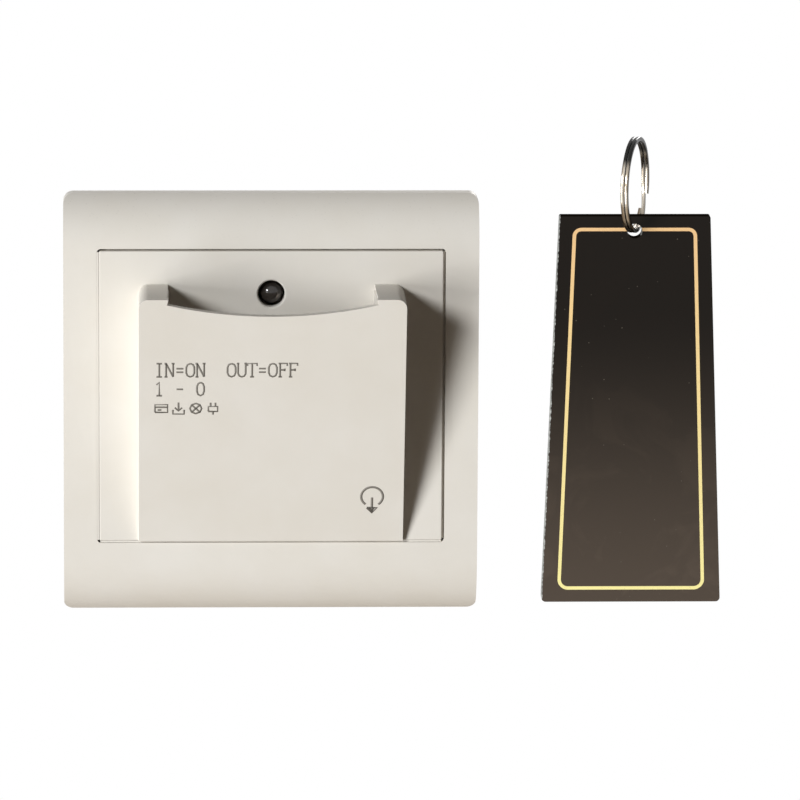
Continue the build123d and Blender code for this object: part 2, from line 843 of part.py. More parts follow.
coil_y = relay_floor + coil_flange / 2
coil_left = relay_left + relay_wall + yoke_thickness + 2 * relay_fit
coil_right = coil_left + coil_length
with BuildPart() as relay_bobbin:
    for flange_x in (coil_left, coil_right - coil_flange_wall):
        box_between(
            flange_x, flange_x + coil_flange_wall, coil_y - coil_flange / 2, coil_y + coil_flange / 2,
            relay_rise - coil_flange / 2, relay_rise + coil_flange / 2,
        )
    rod_along_x(coil_y, relay_rise, relay_core_radius + coil_tube_wall, coil_left, coil_right)
    rod_along_x(
        coil_y, relay_rise, relay_core_radius, coil_left - overrun, coil_right + overrun, Mode.SUBTRACT,
    )
    save(relay_bobbin, "relay_bobbin")

with BuildPart() as relay_winding:
    rod_along_x(
        coil_y, relay_rise, coil_radius,
        coil_left + coil_flange_wall, coil_right - coil_flange_wall,
    )
    rod_along_x(
        coil_y, relay_rise, relay_core_radius + coil_tube_wall,
        coil_left, coil_right, Mode.SUBTRACT,
    )
    save(relay_winding, "relay_winding")

pole_x = coil_right + coil_flange_wall / 2
with BuildPart() as relay_core:
    rod_along_x(coil_y, relay_rise, relay_core_radius, coil_left, pole_x)
    save(relay_core, "relay_core")

yoke_y = coil_y + coil_flange / 2 + relay_fit
pole_reach = coil_flange / 2 + relay_fit + yoke_thickness + relay_core_radius
armature_left = pole_x + pole_reach * sin(radians(armature_travel)) + pole_clearance
with BuildPart() as relay_yoke:
    box_between(
        coil_left - yoke_thickness, coil_left, relay_floor, yoke_y + yoke_thickness,
        relay_rise - yoke_width / 2, relay_rise + yoke_width / 2,
    )
    box_between(
        coil_left - yoke_thickness, armature_left - part_gap, yoke_y, yoke_y + yoke_thickness,
        relay_rise - yoke_width / 2, relay_rise + yoke_width / 2,
    )
    save(relay_yoke, "relay_yoke")

contact_level = relay_floor + contact_blade_height - contact_radius * 2
with BuildPart() as relay_armature:
    box_between(
        armature_left, armature_left + armature_thickness,
        relay_floor + part_gap * 2, yoke_y + yoke_thickness,
        relay_rise - armature_width / 2, relay_rise + armature_width / 2,
    )
    rod_along_x(
        contact_level, relay_rise, contact_radius,
        armature_left + armature_thickness, armature_left + armature_thickness + contact_height,
    )
    save(relay_armature, "relay_armature")

blade_x = armature_left + armature_thickness + contact_height * 2 + part_gap
with BuildPart() as relay_contacts:
    for step in (0, 1):
        strip_x = blade_x + step * (contact_blade_thickness + part_gap * 2)
        box_between(
            strip_x, strip_x + contact_blade_thickness,
            relay_floor, relay_floor + contact_blade_height,
            relay_rise - contact_blade_width / 2, relay_rise + contact_blade_width / 2,
        )
    rod_along_x(contact_level, relay_rise, contact_radius, blade_x - contact_height, blade_x)
    save(relay_contacts, "relay_contacts")

# Capacitors, resistors and other small parts
film_z = relay_high + part_gap * 2 + film_height / 2
film_length = post_x - post_diameter / 2 - film_end_gap - lead_spacing
film_x = -lead_spacing - film_length / 2
with BuildPart() as film_capacitor:
    box_between(
        film_x - film_length / 2, film_x + film_length / 2, board_back, board_back + film_depth,
        film_z - film_height / 2, film_z + film_height / 2,
    )
    fillet(film_capacitor.edges().filter_by(Axis.Y), relay_wall / 2)
    save(film_capacitor, "film_capacitor")

can_low = relay_low + can_diameter / 2
with BuildPart() as smoothing_capacitors:
    for step in range(2):
        rod_along_y(
            can_x, can_low + step * can_pitch, can_diameter / 2,
            board_back, board_back + can_length,
        )
    save(smoothing_capacitors, "smoothing_capacitors")

def axial_part(x, z, diameter, length):
    # A small round part lying along X on the front of the board, on its two bent leads.
    centre_y = board_front - diameter / 2 - part_gap / 2
    rod_along_x(centre_y, z, diameter / 2, x - length / 2, x + length / 2)
    for side in (-1, 1):
        lead_x = x + side * (length / 2 + lead_reach / 2)
        body_x = x + side * length / 2
        rod_along_x(centre_y, z, lead_size / 2, min(body_x, lead_x), max(body_x, lead_x))
        rod_along_y(lead_x, z, lead_size / 2, centre_y, board_front)
        with Locations((lead_x, centre_y, z)):
            Sphere(lead_size / 2)


small_row = lug_radius * 2
with BuildPart() as resistors:
    for n in range(resistor_count):
        axial_part(
            -board_width / 4, small_row + (n - 1) * resistor_pitch,
            resistor_diameter, resistor_length,
        )
    save(resistors, "resistors")

with BuildPart() as diodes:
    for n in range(diode_count):
        axial_part(board_width / 4, small_row + (n - 1) * resistor_pitch, diode_diameter, diode_length)
    save(diodes, "diodes")

chip_z = plunger_z - switch_height / 2 - part_gap - chip_width
chip_x = board_width / 4
with BuildPart() as timer_chip:
    box_between(
        chip_x - chip_length / 2, chip_x + chip_length / 2,
        board_front - chip_height, board_front - part_gap,
        chip_z - chip_width / 2, chip_z + chip_width / 2,
    )
    for side in (-1, 1):
        for n in range(chip_leg_count):
            leg_x = chip_x + (n - (chip_leg_count - 1) / 2) * chip_leg_pitch
            leg_z = chip_z + side * (chip_width / 2 + lead_size / 2)
            box_between(
                leg_x - lead_size / 2, leg_x + lead_size / 2, board_front - chip_height / 2, board_front,
                leg_z - lead_size / 2, leg_z + lead_size / 2,
            )
    save(timer_chip, "timer_chip")

varistor_x = lead_spacing + part_gap + varistor_diameter / 2
with BuildPart() as varistor:
    rod_along_z(
        varistor_x, board_back + varistor_diameter / 2 + part_gap, varistor_diameter / 2,
        relay_high + part_gap, relay_high + part_gap + varistor_thickness,
    )
    for side in (-1, 1):
        rod_along_y(
            varistor_x + side * lead_spacing, relay_high + part_gap + varistor_thickness / 2, lead_size / 2,
            board_back, board_back + varistor_diameter / 2,
        )
    save(varistor, "varistor")

fuse_z = relay_high + varistor_thickness + part_gap * 2 + fuse_diameter / 2
fuse_x = varistor_x
with BuildPart() as fuse:
    rod_along_x(
        board_back + fuse_diameter / 2, fuse_z, (fuse_diameter - part_gap) / 2,
        fuse_x - fuse_length / 2, fuse_x + fuse_length / 2,
    )
    for side in (-1, 1):
        cap_x = fuse_x + side * (fuse_length - fuse_cap_length) / 2
        rod_along_x(
            board_back + fuse_diameter / 2, fuse_z, fuse_diameter / 2,
            cap_x - fuse_cap_length / 2, cap_x + fuse_cap_length / 2,
        )
    save(fuse, "fuse")

# Terminals at the back
clamp_back = terminal_end - terminal_screw_recess - terminal_screw_head_height
with BuildPart() as terminal_housing:
    box_between(
        -terminal_block_width / 2, terminal_block_width / 2, board_back, terminal_end,
        terminal_z - terminal_block_height / 2, terminal_z + terminal_block_height / 2,
    )
    for x in terminal_x:
        box_between(
            x - clamp_width / 2 - terminal_fit, x + clamp_width / 2 + terminal_fit,
            clamp_back - clamp_depth, clamp_back,
            terminal_z - clamp_height / 2 - terminal_fit, terminal_z + clamp_height / 2 + terminal_fit,
            Mode.SUBTRACT,
        )
        rod_along_y(
            x, screw_row, terminal_screw_head / 2 + terminal_fit,
            clamp_back - overrun, terminal_end + overrun,
            Mode.SUBTRACT,
        )
        rod_along_y(
            x, wire_row, wire_hole / 2 + terminal_fit,
            clamp_back - overrun, terminal_end + overrun, Mode.SUBTRACT,
        )
    save(terminal_housing, "terminal_housing")

with BuildPart() as terminal_clamps:
    for x in terminal_x:
        box_between(
            x - clamp_width / 2, x + clamp_width / 2, clamp_back - clamp_depth, clamp_back,
            terminal_z - clamp_height / 2, terminal_z + clamp_height / 2,
        )
        rod_along_y(
            x, wire_row, wire_hole / 2, clamp_back - clamp_depth + overrun,
            clamp_back + overrun, Mode.SUBTRACT,
        )
        rod_along_y(
            x, screw_row, terminal_screw_diameter / 2, clamp_back - terminal_screw_length - overrun,
            clamp_back + overrun, Mode.SUBTRACT,
        )
    save(terminal_clamps, "terminal_clamps")

with BuildPart() as terminal_screws:
    for x in terminal_x:
        head_end = clamp_back + terminal_screw_head_height
        rod_along_y(x, screw_row, terminal_screw_head / 2, clamp_back, head_end)
        rod_along_y(
            x, screw_row, terminal_screw_diameter / 2,
            clamp_back - terminal_screw_length, clamp_back,
        )
        box_between(
            x - terminal_screw_head / 2 + slot_cut_width / 2,
            x + terminal_screw_head / 2 - slot_cut_width / 2,
            head_end - slot_cut_depth, head_end,
            screw_row - slot_cut_width / 2, screw_row + slot_cut_width / 2, Mode.SUBTRACT,
        )
    save(terminal_screws, "terminal_screws")

# Key tag, nearly level with the frame's lower edge, its back on the wall plane
tag_low = frame_centre - frame_height / 2 + tag_rise
tag_high = tag_low + tag_height
tag_centre = tag_low + tag_height / 2
hole_height = tag_high - tag_hole_drop


def tapered_outline(foot_width, head_width, height, foot_corner, head_corner):
    # Straight-sided plate outline that widens towards its foot
    with BuildSketch() as outline:
        Polygon(
            (-foot_width / 2, -height / 2), (foot_width / 2, -height / 2),
            (head_width / 2, height / 2), (-head_width / 2, height / 2),
        )
        fillet(outline.vertices().group_by(Axis.Y)[0], foot_corner)
        fillet(outline.vertices().group_by(Axis.Y)[-1], head_corner)
    return outline.sketch


border_foot = tag_foot_width - 2 * border_foot_inset
border_head = tag_head_width - 2 * border_head_inset
border_height = tag_height - border_inset_top - border_inset_bottom
border_centre = tag_low + border_inset_bottom + border_height / 2
tag_outline = tapered_outline(tag_foot_width, tag_head_width, tag_height, tag_corner, tag_top_corner)
border_outside = tapered_outline(
    border_foot, border_head, border_height, border_foot_corner, border_head_corner,
)
border_inside = tapered_outline(
    border_foot - 2 * border_line, border_head - 2 * border_line, border_height - 2 * border_line,
    border_foot_corner - border_line, border_head_corner - border_line,
)
with BuildPart() as key_tag:
    with BuildSketch(Plane.XZ):
        with Locations((tag_offset, tag_centre)):
            add(tag_outline)
    extrude(amount=tag_thickness)
    rod_along_y(tag_offset, hole_height, tag_hole / 2, -tag_thickness - overrun, overrun, Mode.SUBTRACT)
    with BuildSketch(Plane.XZ.offset(tag_thickness - border_depth)):
        with Locations((tag_offset, border_centre)):
            add(border_outside)
            add(border_inside, mode=Mode.SUBTRACT)
    extrude(amount=border_depth + overrun, mode=Mode.SUBTRACT)
    save(key_tag, "key_tag")

with BuildPart() as tag_border:
    with BuildSketch(Plane.XZ.offset(tag_thickness - border_depth)):
        with Locations((tag_offset, border_centre)):
            add(border_outside)
            add(border_inside, mode=Mode.SUBTRACT)
        with Locations((tag_offset, hole_height)):
            Circle(tag_hole / 2, mode=Mode.SUBTRACT)
    extrude(amount=border_depth)
    save(tag_border, "tag_border")

# Split ring: two flat turns side by side, joined by a short step
ring_radius = ring_diameter / 2
ring_centre_z = hole_height + ring_radius - ring_wire_height / 2
ring_plane = Plane(
    origin=(tag_offset, -tag_thickness / 2, ring_centre_z),
    x_dir=(sin(radians(ring_turn)), cos(radians(ring_turn)), 0),
    z_dir=(cos(radians(ring_turn)), -sin(radians(ring_turn)), 0),
)
with BuildPart() as split_ring:
    for side in (-1, 1):
        turn_start = side * (ring_turn_width + ring_turn_gap) / 2 - ring_turn_width / 2
        with BuildSketch(ring_plane.offset(turn_start)):
            Circle(ring_radius)
            Circle(ring_radius - ring_wire_height, mode=Mode.SUBTRACT)
            with Locations(Location((0, 0), side * ring_end_angle - 90)):
                with Locations((ring_radius, 0)):
                    Rectangle(2 * ring_wire_height + overrun, ring_end_gap, mode=Mode.SUBTRACT)
        extrude(amount=ring_turn_width)
    with BuildSketch(ring_plane.offset(-ring_turn_gap)):
        with Locations(Location((0, 0), 180)):
            with Locations((ring_radius - ring_wire_height / 2, 0)):
                Rectangle(ring_wire_height / 2, ring_wire_height * 2)
    extrude(amount=2 * ring_turn_gap)
    save(split_ring, "split_ring")

print("card lean from upright in degrees:", round(degrees(lean), 2))
print("slot floor height:", round(slot_bottom, 2), "knee height:", round(knee_height, 2))
print("lever nose tip:", round(nose_tip, 2), "nose centre:", round(nose_centre, 2))
print("split ring centre height:", round(ring_centre_z, 2), "hole height:", round(hole_height, 2))
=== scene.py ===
import math

import bmesh
import bpy
from mathutils import Matrix, Vector


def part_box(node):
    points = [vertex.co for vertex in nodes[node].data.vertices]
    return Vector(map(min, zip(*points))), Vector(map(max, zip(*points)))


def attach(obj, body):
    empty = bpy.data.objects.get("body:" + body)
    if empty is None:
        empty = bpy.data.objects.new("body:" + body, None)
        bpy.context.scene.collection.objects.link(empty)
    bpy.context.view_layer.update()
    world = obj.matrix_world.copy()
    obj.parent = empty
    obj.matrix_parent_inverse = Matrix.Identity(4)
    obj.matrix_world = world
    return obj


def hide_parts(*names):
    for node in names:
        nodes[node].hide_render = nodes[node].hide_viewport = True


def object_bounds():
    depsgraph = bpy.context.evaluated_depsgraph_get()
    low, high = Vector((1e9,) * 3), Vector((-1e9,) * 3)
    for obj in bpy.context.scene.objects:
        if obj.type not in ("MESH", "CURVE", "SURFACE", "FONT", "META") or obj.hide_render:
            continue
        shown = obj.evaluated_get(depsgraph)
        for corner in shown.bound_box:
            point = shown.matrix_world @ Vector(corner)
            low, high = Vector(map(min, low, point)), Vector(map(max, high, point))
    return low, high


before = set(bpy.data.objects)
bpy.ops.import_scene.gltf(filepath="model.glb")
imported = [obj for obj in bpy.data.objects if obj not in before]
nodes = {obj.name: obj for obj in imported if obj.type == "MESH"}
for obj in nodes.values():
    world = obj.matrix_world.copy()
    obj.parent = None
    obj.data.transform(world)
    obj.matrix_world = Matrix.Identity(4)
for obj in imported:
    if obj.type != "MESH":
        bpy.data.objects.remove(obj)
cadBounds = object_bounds()
scene = bpy.context.scene
mm = 0.001

# Node helpers, for shaders and Geometry Nodes alike


def setInput(tree, socket, value):
    # An output is linked to the socket, a plain value is set on it
    if hasattr(value, "is_linked"):
        tree.links.new(value, socket)
    else:
        socket.default_value = value


def feed(tree, node, inputs):
    for label, value in inputs.items():
        setInput(tree, node.inputs[label], value)


def addNode(tree, kind, inputs, **settings):
    # The settings come first, as some inputs exist only with them
    node = tree.nodes.new(kind)
    for name, value in settings.items():
        setattr(node, name, value)
    feed(tree, node, inputs)
    return node


def mathNode(tree, operation, first, second=0.0, clamp=False):
    node = addNode(tree, "ShaderNodeMath", {0: first, 1: second}, operation=operation, use_clamp=clamp)
    return node.outputs[0]


def product(tree, first, second):
    return mathNode(tree, "MULTIPLY", first, second)


def rangeNode(tree, value, low, high, toLow=0.0, toHigh=1.0, smooth=False):
    ends = {"Value": value, "From Min": low, "From Max": high, "To Min": toLow, "To Max": toHigh}
    kind = "SMOOTHSTEP" if smooth else "LINEAR"
    return addNode(tree, "ShaderNodeMapRange", ends, interpolation_type=kind).outputs["Result"]


def spreadNoise(tree, value, low, high):
    # Noise keeps mostly between 0.3 and 0.7, which is drawn out to the whole span
    return rangeNode(tree, value, 0.3, 0.7, low, high)


def noiseNode(tree, vector, scale, detail=2.0, rough=0.5, twist=0.0):
    values = {"Vector": vector, "Scale": scale, "Detail": detail, "Roughness": rough, "Distortion": twist}
    return addNode(tree, "ShaderNodeTexNoise", values).outputs["Fac"]


def fleckMask(tree, vector, scale, size):
    fleck = addNode(tree, "ShaderNodeTexVoronoi", {"Vector": vector, "Scale": scale})
    return mathNode(tree, "LESS_THAN", fleck.outputs["Distance"], size)


def ownPlace(tree):
    return tree.nodes.new("ShaderNodeTexCoord").outputs["Object"]


def faceNormal(tree):
    return tree.nodes.new("ShaderNodeNewGeometry").outputs["Normal"]


def partsOf(tree, vector):
    return addNode(tree, "ShaderNodeSeparateXYZ", {0: vector}).outputs


def vectorOf(tree, parts):
    return addNode(tree, "ShaderNodeCombineXYZ", parts).outputs["Vector"]


def mappedTo(tree, vector, scale=(1.0, 1.0, 1.0), turn=(0.0, 0.0, 0.0), kind="POINT"):
    values = {"Vector": vector, "Scale": scale, "Rotation": [math.radians(angle) for angle in turn]}
    return addNode(tree, "ShaderNodeMapping", values, vector_type=kind).outputs["Vector"]


def blendColours(tree, factor, first, second):
    node = addNode(tree, "ShaderNodeMix", {"Factor": factor}, data_type="RGBA")
    colourInputs = {s.name: s for s in node.inputs if s.type == "RGBA"}
    for label, value in (("A", first), ("B", second)):
        setInput(tree, colourInputs[label], value if hasattr(value, "is_linked") else (*value, 1.0))
    return next(s for s in node.outputs if s.type == "RGBA")


# Shared shader groups


def newGroup(name, inputs, outputs):
    tree = bpy.data.node_groups.new(name, "ShaderNodeTree")
    for label, value in inputs.items():
        socket = tree.interface.new_socket(label, in_out="INPUT", socket_type="NodeSocketFloat")
        socket.default_value = value
    for label in outputs:
        tree.interface.new_socket(label, in_out="OUTPUT", socket_type="NodeSocketFloat")
    return tree, tree.nodes.new("NodeGroupInput").outputs, tree.nodes.new("NodeGroupOutput")


grainLook = {"detail": 3.0, "cloudDetail": 4.0, "cloudRough": 0.55, "speckle": (0.62, 0.78)}


def mouldGrainGroup(p):
    # Fine spark texture of a moulding tool, with slow cloudiness over it
    sizes = {"Grain Size": 0.4, "Cloud Size": 18.0}
    tree, given, made = newGroup("mouldGrain", sizes, ("Height", "Cloud", "Speckle"))
    place = ownPlace(tree)
    grainScale, cloudScale = [mathNode(tree, "DIVIDE", 1 / mm, given[label]) for label in sizes]
    grain = noiseNode(tree, place, grainScale, detail=p["detail"])
    cloud = noiseNode(tree, place, cloudScale, detail=p["cloudDetail"], rough=p["cloudRough"])
    feed(tree, made, {"Height": grain, "Cloud": cloud, "Speckle": rangeNode(tree, grain, *p["speckle"])})
    return tree


handlingLook = {"detail": 6.0, "twist": 1.4, "smudge": (0.45, 0.72), "upward": 0.8, "fleckScale": 900.0,
                "fleckSize": 0.13}


def handlingGroup(p):
    # Smudges and a little dust, more of it where the surface looks up
    tree, given, made = newGroup("handling", {"Smudge Size": 9.0, "Dust": 0.3}, ("Smudge", "Dust"))
    place = ownPlace(tree)
    smudgeScale = mathNode(tree, "DIVIDE", 1 / mm, given["Smudge Size"])
    smudge = noiseNode(tree, place, smudgeScale, detail=p["detail"], twist=p["twist"])
    upward = mathNode(tree, "MULTIPLY", partsOf(tree, faceNormal(tree))["Z"], p["upward"], clamp=True)
    flecks = product(tree, fleckMask(tree, place, p["fleckScale"], p["fleckSize"]), upward)
    dust = product(tree, flecks, given["Dust"])
    feed(tree, made, {"Smudge": rangeNode(tree, smudge, *p["smudge"]), "Dust": dust})
    return tree


mouldGrain = mouldGrainGroup(grainLook)
handling = handlingGroup(handlingLook)


def addGrain(tree, grainSize, cloudSize):
    sizes = {"Grain Size": grainSize, "Cloud Size": cloudSize}
    return addNode(tree, "ShaderNodeGroup", sizes, node_tree=mouldGrain).outputs


def addMarks(tree, smudgeSize, dust=0.0):
    values = {"Smudge Size": smudgeSize, "Dust": dust}
    return addNode(tree, "ShaderNodeGroup", values, node_tree=handling).outputs


# Materials


def newMaterial(name):
    material = bpy.data.materials.new(name)
    material.use_nodes = True
    shader = material.node_tree.nodes["Principled BSDF"]
    return material, material.node_tree, shader


def setFinish(tree, shader, colour, rough, metallic=0.0, specular=0.5):
    values = {"Base Color": colour, "Roughness": rough, "Metallic": metallic, "Specular IOR Level": specular}
    feed(tree, shader, values)


def addBump(tree, shader, height, depth):
    bump = addNode(tree, "ShaderNodeBump", {"Strength": 1.0, "Distance": depth * mm, "Height": height})
    feed(tree, shader, {"Normal": bump.outputs["Normal"]})


def scaled(colour, shares):
    return [part * share for part, share in zip(colour, shares)]


mouldLook = {"cloud": 16.0, "smudge": 11.0, "smear": 0.015, "dust": (0.6, 0.6, 0.6),
             "tint": (0.96, 0.95, 0.93)}


def plasticMaterial(name, colour, rough, depth=0.012, size=0.45, tint=mouldLook["tint"], specular=0.5,
                    dust=0.0):
    p = mouldLook
    material, tree, shader = newMaterial(name)
    grain = addGrain(tree, size, p["cloud"])
    marks = addMarks(tree, p["smudge"], dust)
    tone = blendColours(tree, spreadNoise(tree, grain["Cloud"], 0.0, 1.0), colour, scaled(colour, tint))
    dusty = blendColours(tree, marks["Dust"], tone, scaled(colour, p["dust"]))
    gloss = spreadNoise(tree, marks["Smudge"], rough + p["smear"], rough - p["smear"])
    setFinish(tree, shader, dusty, gloss, specular=specular)
    addBump(tree, shader, grain["Height"], depth)
    return material


drawnLook = {"smudge": 3.0, "stain": (0.72, 0.70, 0.66), "polished": -0.06, "dulled": 0.08, "depth": 0.004}


def metalMaterial(name, colour, rough, stretch=(1.0, 1.0, 1.0), size=0.3):
    p = drawnLook
    material, tree, shader = newMaterial(name)
    drawn = noiseNode(tree, mappedTo(tree, ownPlace(tree), scale=stretch), 1.0 / (size * mm), detail=4.0)
    marks = addMarks(tree, p["smudge"])
    tone = blendColours(tree, marks["Smudge"], colour, scaled(colour, p["stain"]))
    gloss = spreadNoise(tree, drawn, rough + p["polished"], rough + p["dulled"])
    setFinish(tree, shader, tone, gloss, metallic=1.0)
    addBump(tree, shader, drawn, p["depth"])
    return material


warmWhite = (0.735, 0.705, 0.655)
coverPlastic, panelPlastic = [
    plasticMaterial(name, warmWhite, rough, depth=0.008, size=0.5, specular=0.10, dust=0.3)
    for name, rough in (("coverPlastic", 0.42), ("panelPlastic", 0.38))
]
platePlastic = plasticMaterial("platePlastic", (0.70, 0.67, 0.60), 0.55, depth=0.02, size=0.6)
housingPlastic = plasticMaterial("housingPlastic", (0.66, 0.64, 0.58), 0.52, depth=0.02, size=0.7, dust=0.5)
terminalPlastic = plasticMaterial("terminalPlastic", (0.60, 0.585, 0.53), 0.48, depth=0.015, size=0.5)
leverPlastic = plasticMaterial("leverPlastic", (0.60, 0.58, 0.52), 0.30, depth=0.005)
blackPlastic = plasticMaterial("blackPlastic", (0.022, 0.022, 0.024), 0.42, tint=(0.7, 0.7, 0.7))
redPlastic = plasticMaterial("redPlastic", (0.42, 0.035, 0.025), 0.35)
relayBlue = plasticMaterial("relayBlue", (0.03, 0.13, 0.38), 0.35)
bobbinPlastic = plasticMaterial("bobbinPlastic", (0.06, 0.06, 0.055), 0.5)
filmYellow = plasticMaterial("filmYellow", (0.60, 0.41, 0.04), 0.33, depth=0.006)
sleevePlastic = plasticMaterial("sleevePlastic", (0.015, 0.016, 0.03), 0.28, depth=0.01, size=1.2)
resistorLacquer = plasticMaterial("resistorLacquer", (0.52, 0.40, 0.24), 0.36, depth=0.02, size=0.8)
diodeBlack = plasticMaterial("diodeBlack", (0.018, 0.018, 0.018), 0.34, depth=0.004)
varistorCoat = plasticMaterial("varistorCoat", (0.02, 0.10, 0.32), 0.30, depth=0.06, size=1.6)
screwSteel = metalMaterial("screwSteel", (0.62, 0.61, 0.57), 0.30, size=0.2)
tinnedLead = metalMaterial("tinnedLead", (0.70, 0.70, 0.67), 0.34, size=0.25)
pinSteel = metalMaterial("pinSteel", (0.60, 0.60, 0.60), 0.16, stretch=(0.15, 1.0, 1.0), size=0.15)
springCopper = metalMaterial("springCopper", (0.72, 0.44, 0.24), 0.28, stretch=(0.1, 1.0, 1.0))
softIron = metalMaterial("softIron", (0.45, 0.45, 0.43), 0.42, size=0.4)
clampBrass = metalMaterial("clampBrass", (0.72, 0.54, 0.24), 0.30, stretch=(1.0, 0.2, 1.0))

windingLook = {"scale": 2600.0, "twist": 0.4, "dark": (0.20, 0.06, 0.02), "bright": (0.62, 0.26, 0.09),
               "rough": 0.28, "metallic": 0.7, "depth": 0.06}


def windingMaterial(p):
    # Enamelled wire laid side by side along the coil, painted darker between the turns and lighter on them as
    # shade and highlight
    material, tree, shader = newMaterial("windingWire")
    values = {"Vector": ownPlace(tree), "Scale": p["scale"], "Distortion": p["twist"]}
    wave = addNode(tree, "ShaderNodeTexWave", values, wave_type="BANDS", bands_direction="X")
    turns = wave.outputs["Fac"]
    setFinish(tree, shader, blendColours(tree, turns, p["dark"], p["bright"]), p["rough"],
              metallic=p["metallic"])
    addBump(tree, shader, turns, p["depth"])
    return material


boardLook = {"scale": 150.0, "line": 0.06, "smooth": 0.2, "offset": 0.37, "track": (0.05, 0.30, 0.09),
             "mask": ((0.012, 0.13, 0.045), (0.018, 0.19, 0.065)), "grain": (0.9, 12.0), "rough": 0.3,
             "depth": 0.05}


def boardMaterial(p):
    # Solder mask with copper tracks showing through it
    material, tree, shader = newMaterial("boardMask")
    values = {"Vector": mappedTo(tree, ownPlace(tree), turn=(90, 0, 0)), "Scale": p["scale"],
              "Mortar Size": p["line"], "Mortar Smooth": p["smooth"]}
    tracks = addNode(tree, "ShaderNodeTexBrick", values, offset=p["offset"]).outputs["Fac"]
    mask = blendColours(tree, addGrain(tree, *p["grain"])["Cloud"], *p["mask"])
    setFinish(tree, shader, blendColours(tree, tracks, mask, p["track"]), p["rough"])
    addBump(tree, shader, tracks, p["depth"])
    return material


fuseLook = {"cap": 2.4, "glass": (0.75, 0.78, 0.76), "plate": ((0.62, 0.61, 0.57), (0.72, 0.71, 0.68)),
            "grain": (0.4, 3.0), "rough": 0.14}


def fuseMaterial(p):
    # Clear tube between plated caps, told apart along the fuse
    material, tree, shader = newMaterial("fuseGlass")
    low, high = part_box("fuse")
    along = mathNode(tree, "SUBTRACT", partsOf(tree, ownPlace(tree))["X"], (low.x + high.x) / 2)
    glassHalf = (high.x - low.x) / 2 - p["cap"] * mm
    cap = mathNode(tree, "GREATER_THAN", mathNode(tree, "ABSOLUTE", along), glassHalf)
    plate = blendColours(tree, addGrain(tree, *p["grain"])["Cloud"], *p["plate"])
    setFinish(tree, shader, blendColours(tree, cap, p["glass"], plate), p["rough"], metallic=cap)
    return material


lensLook = {"tones": ((0.030, 0.024, 0.021), (0.055, 0.046, 0.040)), "grain": (0.7, 3.0), "rough": 0.07,
            "ior": 1.52, "clear": 0.55, "depth": 0.003}


def lensMaterial(p):
    # Dark resin of the lamp: the shade inside its hole is painted into it
    material, tree, shader = newMaterial("lampLens")
    grain = addGrain(tree, *p["grain"])
    setFinish(tree, shader, blendColours(tree, grain["Cloud"], *p["tones"]), p["rough"])
    feed(tree, shader, {"IOR": p["ior"], "Transmission Weight": p["clear"]})
    addBump(tree, shader, grain["Height"], p["depth"])
    return material


tagLook = {
    "head": (0.0088, 0.0062, 0.0042), "foot": (0.090, 0.069, 0.053), "sheenFrom": 18.0, "sheenPast": 8.0,
    "smudge": 14.0, "dust": 0.2, "uneven": (0.92, 1.08), "gloss": (0.17, 0.25), "specular": 0.12,
    "lint": (0.11, 0.095, 0.075), "lintScale": 420.0, "lintSize": 0.045,
    "sawn": ((0.06, 0.06, 0.06), (0.55, 0.56, 0.54)), "sawnScale": 1400.0, "sawnRough": 0.7,
    "footHalf": 18.75, "headHalf": 15.7, "stripWidths": (0.04, 0.26), "sideSlope": 0.8, "endSlope": 0.6,
    "scratchScale": 5200.0, "scratchStretch": (1.0, 1.0, 0.03), "scratchLean": (0, 7, 0),
    "scratchDepth": 0.0012,
}


def tagMaterial(p):
    # Black acrylic, painted paler towards the foot as a sheen, its long sides left as sawn
    material, tree, shader = newMaterial("tagAcrylic")
    low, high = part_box("key_tag")
    place = ownPlace(tree)
    spot, slope = partsOf(tree, place), partsOf(tree, faceNormal(tree))
    # Painted sheen: the face runs from dark at the head to paler at the foot, unevenly
    sheenFrom, sheenTo = high.z - p["sheenFrom"] * mm, low.z - p["sheenPast"] * mm
    paintedSheen = rangeNode(tree, spot["Z"], sheenFrom, sheenTo, smooth=True)
    marks = addMarks(tree, p["smudge"], p["dust"])
    uneven = product(tree, spreadNoise(tree, marks["Smudge"], *p["uneven"]), paintedSheen)
    tone = blendColours(tree, uneven, p["head"], p["foot"])
    face = blendColours(tree, fleckMask(tree, place, p["lintScale"], p["lintSize"]), tone, p["lint"])
    sawn = noiseNode(tree, place, p["sawnScale"], detail=5.0)
    rough = blendColours(tree, spreadNoise(tree, sawn, 0.0, 1.0), *p["sawn"])
    # A thin uneven strip along the left edge of the face is pale and rough
    leftEdge = rangeNode(tree, spot["Z"], low.z, high.z, -p["footHalf"] * mm, -p["headHalf"] * mm)
    across = mathNode(tree, "SUBTRACT", spot["X"], (low.x + high.x) / 2)
    stripWidths = spreadNoise(tree, sawn, *[width * mm for width in p["stripWidths"]])
    paleLeftStrip = mathNode(tree, "LESS_THAN", mathNode(tree, "SUBTRACT", across, leftEdge), stripWidths)
    side = mathNode(tree, "GREATER_THAN", mathNode(tree, "ABSOLUTE", slope["X"]), p["sideSlope"])
    bare = mathNode(tree, "MAXIMUM", side, paleLeftStrip)
    gloss = mathNode(tree, "MAXIMUM", spreadNoise(tree, marks["Smudge"], *p["gloss"]),
                     product(tree, bare, p["sawnRough"]))
    # The end faces are dull
    notEnd = mathNode(tree, "LESS_THAN", mathNode(tree, "ABSOLUTE", slope["Z"]), p["endSlope"])
    setFinish(tree, shader, blendColours(tree, bare, face, rough), gloss,
              specular=product(tree, notEnd, p["specular"]))
    stretched = mappedTo(tree, place, scale=p["scratchStretch"], turn=p["scratchLean"])
    addBump(tree, shader, noiseNode(tree, stretched, p["scratchScale"]), p["scratchDepth"])
    return material


goldLook = {"bright": ((0.97, 0.88, 0.38), (0.88, 0.57, 0.28)),
            "dull": ((0.82, 0.74, 0.31), (0.72, 0.46, 0.22)), "worn": (0.55, 0.40, 0.20),
            "grain": (0.22, 2.2), "rough": (0.34, 0.50), "metallic": 0.45, "depth": 0.02}


